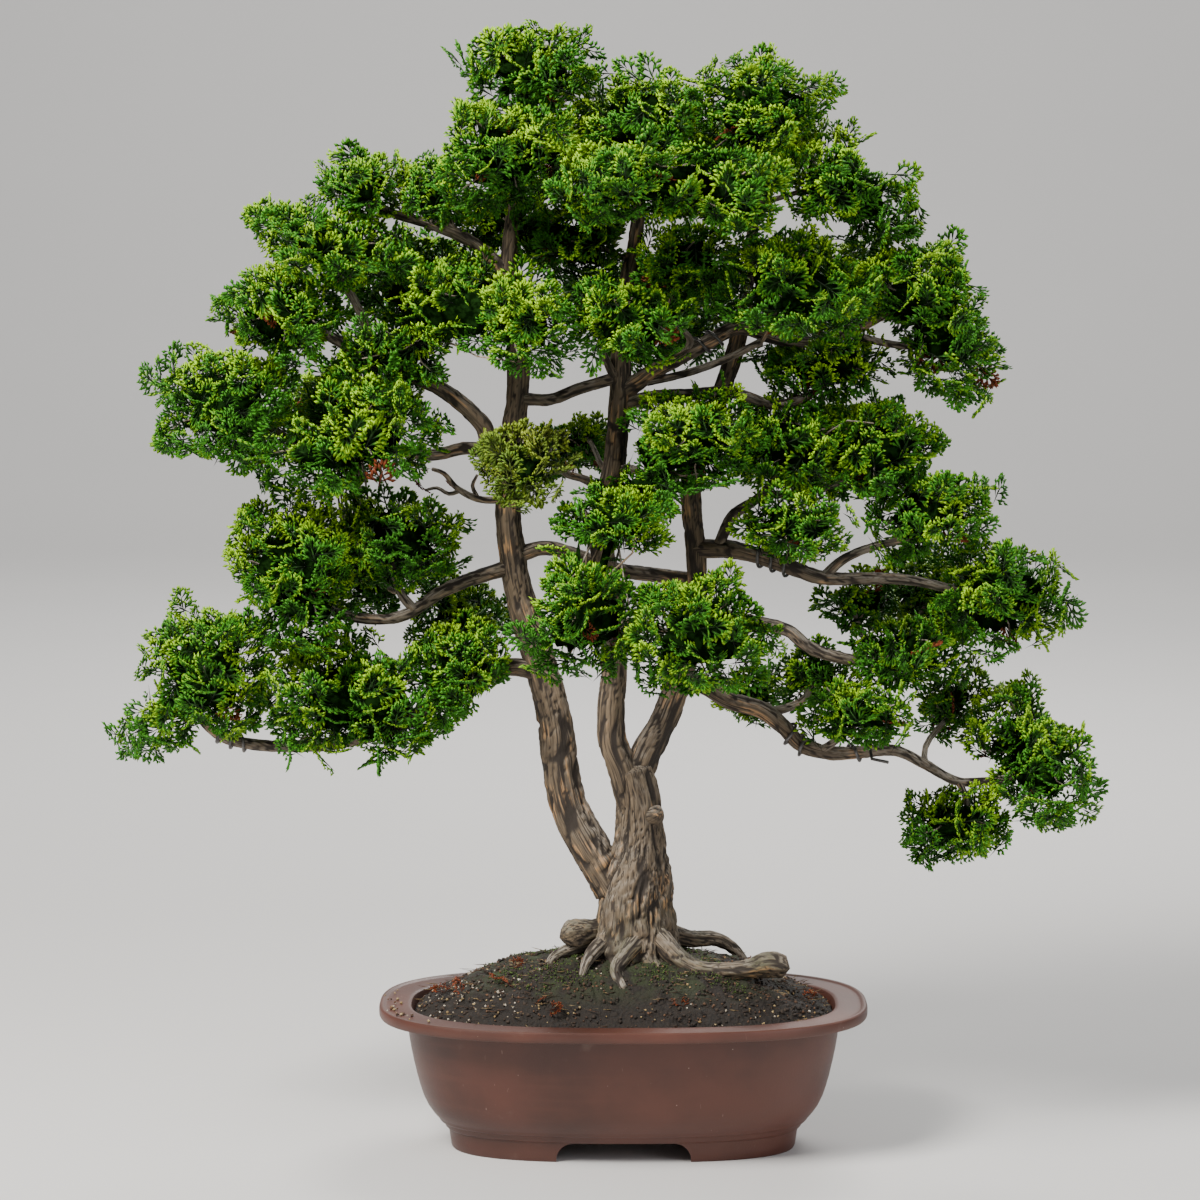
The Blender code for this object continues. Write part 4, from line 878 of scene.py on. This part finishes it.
def clay_finish(settings):
    """Unglazed clay: faint cloudy tone, faint horizontal bands, fine specks and pores, pale lime patches and a few pale
    scratches.
    """
    clay = Finish("clay", 0.5)
    place = clay.place()
    cloud = clay.noise(place, 9.0, 4.0)
    grainy = clay.noise(place, 700.0, 2.0)
    bands = clay.noise(clay.scaled(place, (10, 10, 130)), 1.0, 2.0)
    dark, light = (tuple(f * c for c in settings.clay_colour) for f in (0.72, 1.35))
    colour = clay.mix(cloud.ramp(0.30, 0.72), dark, light)
    colour = clay.mix(bands.ramp(0.45, 0.75) * 0.35, colour, tuple(1.3 * c for c in settings.clay_colour))
    specks = clay.cells(place, 160.0).ramp(0.10, 0.04) * clay.noise(place, 60.0).ramp(0.60, 0.66)
    colour = clay.mix(specks * 0.8, colour, (0.36, 0.27, 0.21))
    scratch = clay.noise(clay.scaled(place, (420, 420, 26)), 1.0, 1.0, spread=0.3).ramp(0.745, 0.775)
    scratch = scratch * clay.noise(place, 14.0).ramp(0.54, 0.64)
    colour = clay.mix(scratch * 0.5, colour, (0.30, 0.21, 0.17))
    lime = clay.noise(place, 34.0, 4.0).ramp(0.66, 0.80) * 0.18
    colour = clay.mix(lime, colour, (0.26, 0.19, 0.16))
    bump = clay.bump(grainy * 0.7 + cloud * 0.5, 0.0003, 0.55)
    return clay.feed(Base_Color=colour, Roughness=0.33 + grainy * 0.15 + cloud * 0.10, Normal=bump)


class FormPot(bpy.types.Operator):
    """Forms the pot with its rim bead, foot moulding, feet and drain holes"""

    bl_idname = "bonsai.form_pot"
    bl_label = "Form pot"

    def execute(self, context):
        settings = context.scene.bonsai_pot
        clay_finish(settings)
        section = UNDER_SECTION + BODY_SECTION + RIM_SECTION
        rings = [pot_ring(inset * MM, height * MM, settings.segments) for inset, height in section]
        item = make_piece("glazeless_pot", *stacked(rings), "clay", "clay", ("pot",))
        turn_outwards(item)
        half, corner = FOOT_ARCH_WIDTH / 2, FOOT_ARCH_CORNER
        turn = np.linspace(0, math.pi / 2, 12)
        right = np.column_stack((half - corner + corner * np.cos(turn), FOOT_ARCH_HEIGHT - corner + corner * np.sin(turn)))
        outline = np.vstack(((half, -0.003), right, right[::-1] * (-1, 1), (-half, -0.003)))
        arch = [STAND + np.column_stack((outline[:, 0], np.full(len(outline), depth), outline[:, 1]))
                for depth in (-RIM_HALF[1], RIM_HALF[1])]
        tools = [plain_tool("arch", *stacked(arch))]
        for side in (-1, 1):
            angle = np.arange(32) * 2 * math.pi / 32
            circle = np.column_stack((side * DRAIN_ACROSS + DRAIN_RADIUS * np.cos(angle), DRAIN_RADIUS * np.sin(angle)))
            rows = [STAND + np.column_stack((circle, np.full(32, height))) for height in (0.004, 0.036)]
            tools.append(plain_tool("drain", *stacked(rows)))
        cut_away(item, tools)
        item.data.shade_smooth()
        item.data.set_sharp_from_angle(angle=math.radians(32))
        return {"FINISHED"}


def turn_outwards(item):
    work = bmesh.new()
    work.from_mesh(item.data)
    bmesh.ops.recalc_face_normals(work, faces=work.faces)
    work.to_mesh(item.data)
    work.free()


def plain_tool(name, vertices, faces):
    mesh = bpy.data.meshes.new(name)
    mesh.from_pydata(vertices.tolist(), [], faces.tolist())
    item = bpy.data.objects.new(name, mesh)
    bpy.context.scene.collection.objects.link(item)
    turn_outwards(item)
    return item


def cut_away(item, tools):
    """Takes the tools' shapes out of the piece and removes the tools."""
    for tool in tools:
        cut = item.modifiers.new("cut", "BOOLEAN")
        cut.operation, cut.solver, cut.object = "DIFFERENCE", "EXACT", tool
    bpy.context.view_layer.update()
    graph = bpy.context.evaluated_depsgraph_get()
    mesh = bpy.data.meshes.new_from_object(item.evaluated_get(graph))
    item.modifiers.clear()
    item.data = mesh
    for tool in tools:
        bpy.data.objects.remove(tool, do_unlink=True)


def soil_finish(settings):
    """Dark damp earth with fine crumbs, and moss in patches that thicken towards the trunk."""
    soil = Finish("soil", 0.9)
    place = soil.place()
    crumbs = soil.noise(place, 420.0, 4.0)
    clods = soil.cells(place, 240.0)
    patches = soil.noise(place, 30.0, 3.0)
    high = soil.node("ShaderNodeSeparateXYZ", None, [place], 2)
    colour = soil.mix(crumbs.ramp(0.35, 0.68), tuple(0.35 * c for c in settings.earth_colour), settings.earth_colour)
    colour = soil.mix((clods.ramp(0.42, 0.10) * crumbs).ramp(0.50, 0.75) * 0.5, colour, (0.10, 0.065, 0.040))
    moss = high.ramp(0.132, 0.158) * patches.ramp(0.40, 0.56)
    colour = soil.mix(moss * 0.8, colour, settings.moss_colour)
    bump = soil.bump(crumbs + clods * 0.6, 0.0022, 1.0)
    return soil.feed(Base_Color=colour, Roughness=0.72 + crumbs * 0.25, Normal=bump)


def grain_finish(settings):
    """Loose bits by their kind: 0 dark earth, 1 brown bark, 2 pale pumice, 3 tan grit, 4 moss."""
    grains = Finish("grains", 0.85)
    kind, tone = grains.stored("kind"), grains.stored("tone")
    place = grains.place()
    rough = grains.noise(place, 1100.0, 3.0)
    colour = grains.mix(tone, tuple(0.5 * c for c in settings.earth_colour), tuple(2.2 * c for c in settings.earth_colour))
    for low, first, second in ((0.5, (0.040, 0.019, 0.010), (0.15, 0.072, 0.034)),
                               (1.5, (0.34, 0.27, 0.19), (0.66, 0.60, 0.50)),
                               (2.5, (0.30, 0.19, 0.07), (0.46, 0.34, 0.17)),
                               (3.5, settings.moss_colour, (0.10, 0.17, 0.025))):
        colour = grains.mix(kind.ramp(low - 0.1, low + 0.1), colour, grains.mix(tone, first, second))
    colour = grains.mix(rough.ramp(0.62, 0.38) * 0.4, colour, (0.02, 0.014, 0.009))
    return grains.feed(Base_Color=colour, Normal=grains.bump(rough, 0.0006, 0.8))


def soil_edge():
    """Half length and half width of the soil where it meets the wall, in metres."""
    return RIM_HALF - SOIL_INSET - 0.0008


def on_soil(draw, count, inner=0.0, outer=0.985):
    """Random places on the soil, evenly by area: points and their share of the way to the wall."""
    edge = soil_edge()
    rho = np.sqrt(draw.uniform(inner ** 2, outer ** 2, count))
    ring = pot_ring(SOIL_INSET + 0.0008, 0.0, 720) - STAND
    pick = draw.integers(720, size=count)
    x, y = ring[pick, 0] * rho, ring[pick, 1] * rho
    return STAND + np.column_stack((x, y, soil_height(x, y, edge))), rho


class FillSoil(bpy.types.Operator):
    """Fills the pot with an uneven mound of soil"""

    bl_idname = "bonsai.fill_soil"
    bl_label = "Fill soil"

    def execute(self, context):
        settings = context.scene.bonsai_soil
        soil_finish(settings)
        draw = np.random.default_rng(31)
        segments, edge = 168, soil_edge()
        low = [pot_ring(inset * MM + 0.0008, height, segments)
               for inset, height in ((64.6, 0.0276), (41.5, 0.055), (31.5, 0.100))]
        rim = pot_ring(SOIL_INSET + 0.0008, 0.0, segments) - STAND
        share = np.linspace(1, 0.012, 66)
        flat = rim[None] * share[:, None, None]
        flat[..., 2] = soil_height(flat[..., 0], flat[..., 1], edge)
        places = flat.reshape(-1, 3)
        crumb = 0.0011 * scatter_noise(draw, places, 330) + 0.0009 * scatter_noise(draw, places, 800)
        flat[..., 2] += (crumb + draw.normal(scale=0.0004, size=len(places))).reshape(flat.shape[:2])
        item = make_piece("mounded_soil", *stacked([*low, *(STAND + ring for ring in flat)]), "soil", "soil", ("soil",))
        turn_outwards(item)
        return {"FINISHED"}


STONE = np.array(((1, 0, 0), (-1, 0, 0), (0, 1, 0), (0, -1, 0), (0, 0, 1), (0, 0, -1)), float)
STONE_FACES = np.array(((0, 2, 4), (2, 1, 4), (1, 3, 4), (3, 0, 4), (2, 0, 5), (1, 2, 5), (3, 1, 5), (0, 3, 5)))


def stones(draw, places, sizes, kinds):
    """Small faceted stones: an eight-sided grain turned, stretched and roughened at random for each place."""
    count = len(places)
    turns = np.linalg.qr(draw.normal(size=(count, 3, 3)))[0]
    turns *= np.sign(np.linalg.det(turns))[:, None, None]
    shape = STONE[None] * draw.uniform(0.8, 1.25, (count, 6, 1)) * draw.uniform(0.65, 1.15, (count, 1, 3))
    vertices = places[:, None] + shape @ turns * sizes[:, None, None] / 2
    faces = STONE_FACES[None] + (np.arange(count) * 6)[:, None, None]
    return (vertices.reshape(-1, 3), faces.reshape(-1, 3), np.repeat(kinds.astype(float), 6),
            np.repeat(draw.random(count), 6))


def sticks(draw, places, lengths, width, lift, kinds):
    """Thin pointed bits: a four-point kite for each place, lying with its far end lifted."""
    count = len(places)
    body = kite((0, 0, 0), (1, 0, 0), 1.0, 0.5)
    turn, rise = draw.uniform(0, 2 * math.pi, count), np.arcsin(np.clip(draw.normal(lift, 0.05 + 0.3 * lift, count), -0.1, 1))
    ways = np.column_stack((np.cos(turn) * np.cos(rise), np.sin(turn) * np.cos(rise), np.sin(rise)))
    across = unit(np.cross((0.01, 0, 1.0), ways))
    over = np.cross(ways, across)
    vertices = (places[:, None] + body[None, :, 0, None] * ways[:, None] * lengths[:, None, None]
                + (body[None, :, 1, None] * across[:, None] + body[None, :, 2, None] * over[:, None]) * width)
    faces = KITE_FACES[None] + (np.arange(count) * 4)[:, None, None]
    return (vertices.reshape(-1, 3), faces.reshape(-1, 3), np.repeat(kinds.astype(float), 4),
            np.repeat(draw.random(count), 4))


class ScatterGrains(bpy.types.Operator):
    """Scatters grit, pumice, bark bits, moss and dried sprays over the soil and the rim"""

    bl_idname = "bonsai.scatter_grains"
    bl_label = "Scatter grains"

    def execute(self, context):
        settings = context.scene.bonsai_soil
        grain_finish(settings)
        draw = np.random.default_rng(41)
        places, rho = on_soil(draw, settings.grains)
        left = places[:, 0] < STAND[0] - 0.09
        kinds = np.where(draw.random(len(places)) < 0.36, 1, 0)
        kinds = np.where(draw.random(len(places)) < np.where(left & (rho > 0.72), 0.26, 0.022), 2, kinds)
        kinds = np.where(draw.random(len(places)) < np.where(rho > 0.8, 0.16, 0.03), 3, kinds)
        sizes = draw.uniform(0.0014, 0.0036, len(places)) * np.where(kinds == 0, 1.4, 1.0)
        parts = [stones(draw, places + (0, 0, 0.0004), sizes, kinds)]
        places, _ = on_soil(draw, 900)
        lengths = draw.uniform(0.006, 0.020, len(places))
        parts.append(sticks(draw, places + (0, 0, 0.0008), lengths, 0.0010, 0.03, np.where(draw.random(900) < 0.3, 3, 1)))
        places, rho = on_soil(draw, 5200, 0.0, 0.74)
        clumped = (scatter_noise(draw, places, 90) + 1.5 * (0.55 - rho)) > -0.1
        places = places[clumped]
        lengths = draw.uniform(0.0016, 0.0036, len(places))
        parts.append(sticks(draw, places, lengths, 0.0014, 0.6, np.full(len(places), 4)))
        ring = pot_ring(0.012, 0.1243, 720)
        angle = (draw.normal(0.55, 0.05, 26) % 1 * 720).astype(int)
        places = ring[angle] + draw.normal(scale=(0.004, 0.004, 0), size=(26, 3))
        parts.append(stones(draw, places + (0, 0, 0.0008), draw.uniform(0.0015, 0.0038, 26), draw.integers(1, 4, 26)))
        vertices, faces, kind, tone = join(parts)
        make_piece("grains_and_moss", vertices, faces, "grains", "soil", (), False, kind=kind, tone=tone)
        templates = [spray_template(draw) for _ in range(3)]
        spots = np.array(((-0.105, -0.034), (-0.098, -0.026), (-0.092, -0.060), (-0.078, -0.082), (-0.066, -0.088),
                          (-0.135, -0.055), (-0.150, -0.030), (0.052, -0.088), (0.150, -0.040), (0.118, 0.046)))
        heights = soil_height(spots[:, 0], spots[:, 1], soil_edge())
        roots = STAND + np.column_stack((spots, heights + 0.002))
        roots = np.vstack((roots, seen(BARE_TUFTS)))
        ways = unit(draw.normal(size=(len(roots), 3)) * (1, 1, 0.15) + (0, 0, 0.30))
        lifts = np.array((0, 0, 1.0)) + draw.normal(scale=0.5, size=roots.shape)
        dried = place_sprays(draw, templates, roots, ways, lifts, draw.uniform(0.014, 0.022, len(roots)))
        vertices, faces, tip, which = dried
        full = np.full(len(vertices), 2.0)
        make_piece("dried_sprays", vertices, faces, "foliage", "foliage", (), tip=tip, tone=draw.random(len(roots))[which], kind=full)
        return {"FINISHED"}


class WindWires(bpy.types.Operator):
    """Winds the training wires round their branches"""

    bl_idname = "bonsai.wind_wires"
    bl_label = "Wind wires"

    def execute(self, context):
        settings = context.scene.bonsai_wire
        wire = Finish("wire", 0.42, Metallic=0.85)
        worn = wire.noise(wire.place(), 180.0, 3.0)
        colour = wire.mix(worn.ramp(0.4, 0.7), tuple(0.55 * c for c in settings.wire_colour), settings.wire_colour)
        wire.feed(Base_Color=colour, Roughness=0.32 + worn * 0.3)
        for name, (branch, start, end, turns, loose) in WIRES.items():
            points, radii = smooth_path(BRANCHES[branch], 0.004)
            along = lengths_along(points)
            steps = round(turns * 26)
            share = np.linspace(start, end, steps + 1) * along[-1]
            middle = np.column_stack([np.interp(share, along, points[:, k]) for k in range(3)])
            reach = np.interp(share, along, radii) + WIRE_CLEARANCE + settings.wire_radius
            _, across, normal = path_frames(middle)
            angle = np.arange(steps + 1) * 2 * math.pi / 26
            coil = middle + reach[:, None] * (np.cos(angle)[:, None] * across + np.sin(angle)[:, None] * normal)
            if loose:
                coil = np.vstack((coil, seen(loose)))
            vertices, faces, _ = tube(coil, np.full(len(coil), settings.wire_radius), 10)
            make_piece("wound_" + name, vertices, faces, "wire", "wire", (name,))
        return {"FINISHED"}


class FinishScreens(bpy.types.Operator):
    """Gives the drain screens their black plastic"""

    bl_idname = "bonsai.finish_screens"
    bl_label = "Finish drain screens"

    def execute(self, context):
        mesh = Finish("screen", 0.55)
        fine = mesh.noise(mesh.place(), 500.0, 2.0)
        mesh.feed(Base_Color=mesh.mix(fine, (0.015, 0.015, 0.016), (0.040, 0.040, 0.042)), Roughness=0.45 + fine * 0.2)
        for node in ("drain_screen_left", "drain_screen_right"):
            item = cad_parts[node]
            item.data.materials.clear()
            item.data.materials.append(mesh.material)
        return {"FINISHED"}


class LightStage(bpy.types.Operator):
    """Adds the pale floor, the soft studio lights and the camera"""

    bl_idname = "bonsai.light_stage"
    bl_label = "Light stage"

    def execute(self, context):
        settings = context.scene.bonsai_stage
        floor = Finish("floor", 0.75)
        cloudy = floor.noise(floor.place(), 2.0, 2.0)
        floor.feed(Base_Color=floor.mix(cloudy, tuple(0.96 * c for c in settings.floor_colour), settings.floor_colour))
        turn = np.linspace(0, math.pi / 2, 24)
        sweep = np.column_stack((5.0 + 2.6 * np.sin(turn), 2.6 - 2.6 * np.cos(turn)))
        sweep = np.vstack(((-7, 0), sweep, (7.6, 9)))
        corners = [(x, y, z) for y, z in sweep for x in (-9, 9)]
        faces = [(2 * k, 2 * k + 1, 2 * k + 3, 2 * k + 2) for k in range(len(sweep) - 1)]
        mesh = bpy.data.meshes.new("floor")
        mesh.from_pydata(corners, [], faces)
        mesh.shade_smooth()
        mesh.materials.append(FINISH["floor"])
        item = bpy.data.objects.new("floor", mesh)
        context.scene.collection.objects.link(item)
        self.light("key", (-1.5, -1.5, 2.5), 1.1, settings.key_power, (1.0, 0.97, 0.92))
        self.light("fill", (2.1, -1.9, 1.4), 1.8, settings.key_power * 0.16, (0.93, 0.96, 1.0))
        self.light("back", (0.7, 2.0, 2.3), 1.3, settings.key_power * 0.32, (1.0, 0.98, 0.95))
        self.light("wash", (0.0, 2.6, 3.4), 2.6, settings.key_power * 0.9, (1.0, 0.99, 0.97), (0.0, 7.4, 1.2))
        world = bpy.data.worlds.new("studio")
        world.use_nodes = True
        world.node_tree.nodes["Background"].inputs["Color"].default_value = (0.80, 0.82, 0.85, 1)
        world.node_tree.nodes["Background"].inputs["Strength"].default_value = 0.34
        context.scene.world = world
        lens = bpy.data.cameras.new("camera")
        lens.lens, lens.sensor_width, lens.clip_end = 122.2, 36.0, 100.0
        camera = bpy.data.objects.new("camera", lens)
        camera.location = STAND + EYE
        camera.rotation_euler = (math.radians(90 - 6.46), 0, 0)
        context.scene.collection.objects.link(camera)
        context.scene.camera = camera
        return {"FINISHED"}

    def light(self, name, place, size, power, colour, towards=(0, 0, 0.5)):
        lamp = bpy.data.lights.new(name, "AREA")
        lamp.size, lamp.energy, lamp.color = size, power, colour
        item = bpy.data.objects.new(name, lamp)
        item.location = STAND + np.array(place)
        aim = np.array(towards) - np.array(place)
        yaw, tilt = math.atan2(aim[1], aim[0]), math.acos(-aim[2] / np.linalg.norm(aim))
        item.rotation_euler = (tilt, 0, yaw - math.pi / 2)
        bpy.context.scene.collection.objects.link(item)


OPERATORS = (GrowTrunks, GrowBranches, GrowTwigs, GrowFoliage, FormPot, FillSoil, ScatterGrains, WindWires,
             FinishScreens, LightStage)
SETTINGS = {"bonsai_bark": BarkSettings, "bonsai_foliage": FoliageSettings, "bonsai_pot": PotSettings,
            "bonsai_soil": SoilSettings, "bonsai_wire": WireSettings, "bonsai_stage": StageSettings}


class BonsaiPanel(bpy.types.Panel):
    bl_idname = "VIEW3D_PT_bonsai"
    bl_label = "Bonsai"
    bl_space_type = "VIEW_3D"
    bl_region_type = "UI"
    bl_category = "Bonsai"

    def draw(self, context):
        for name, kind in SETTINGS.items():
            box = self.layout.box()
            for field in kind.__annotations__:
                box.prop(getattr(context.scene, name), field)
        for operator in OPERATORS:
            self.layout.operator(operator.bl_idname)


def register():
    for kind in (*SETTINGS.values(), *OPERATORS, BonsaiPanel):
        bpy.utils.register_class(kind)
    for name, kind in SETTINGS.items():
        setattr(bpy.types.Scene, name, PointerProperty(type=kind))


def unregister():
    for name in SETTINGS:
        delattr(bpy.types.Scene, name)
    for kind in reversed((*SETTINGS.values(), *OPERATORS, BonsaiPanel)):
        bpy.utils.unregister_class(kind)


def main():
    register()
    for operator in OPERATORS:
        group, name = operator.bl_idname.split(".")
        getattr(getattr(bpy.ops, group), name)()


if __name__ == "__main__":
    main()
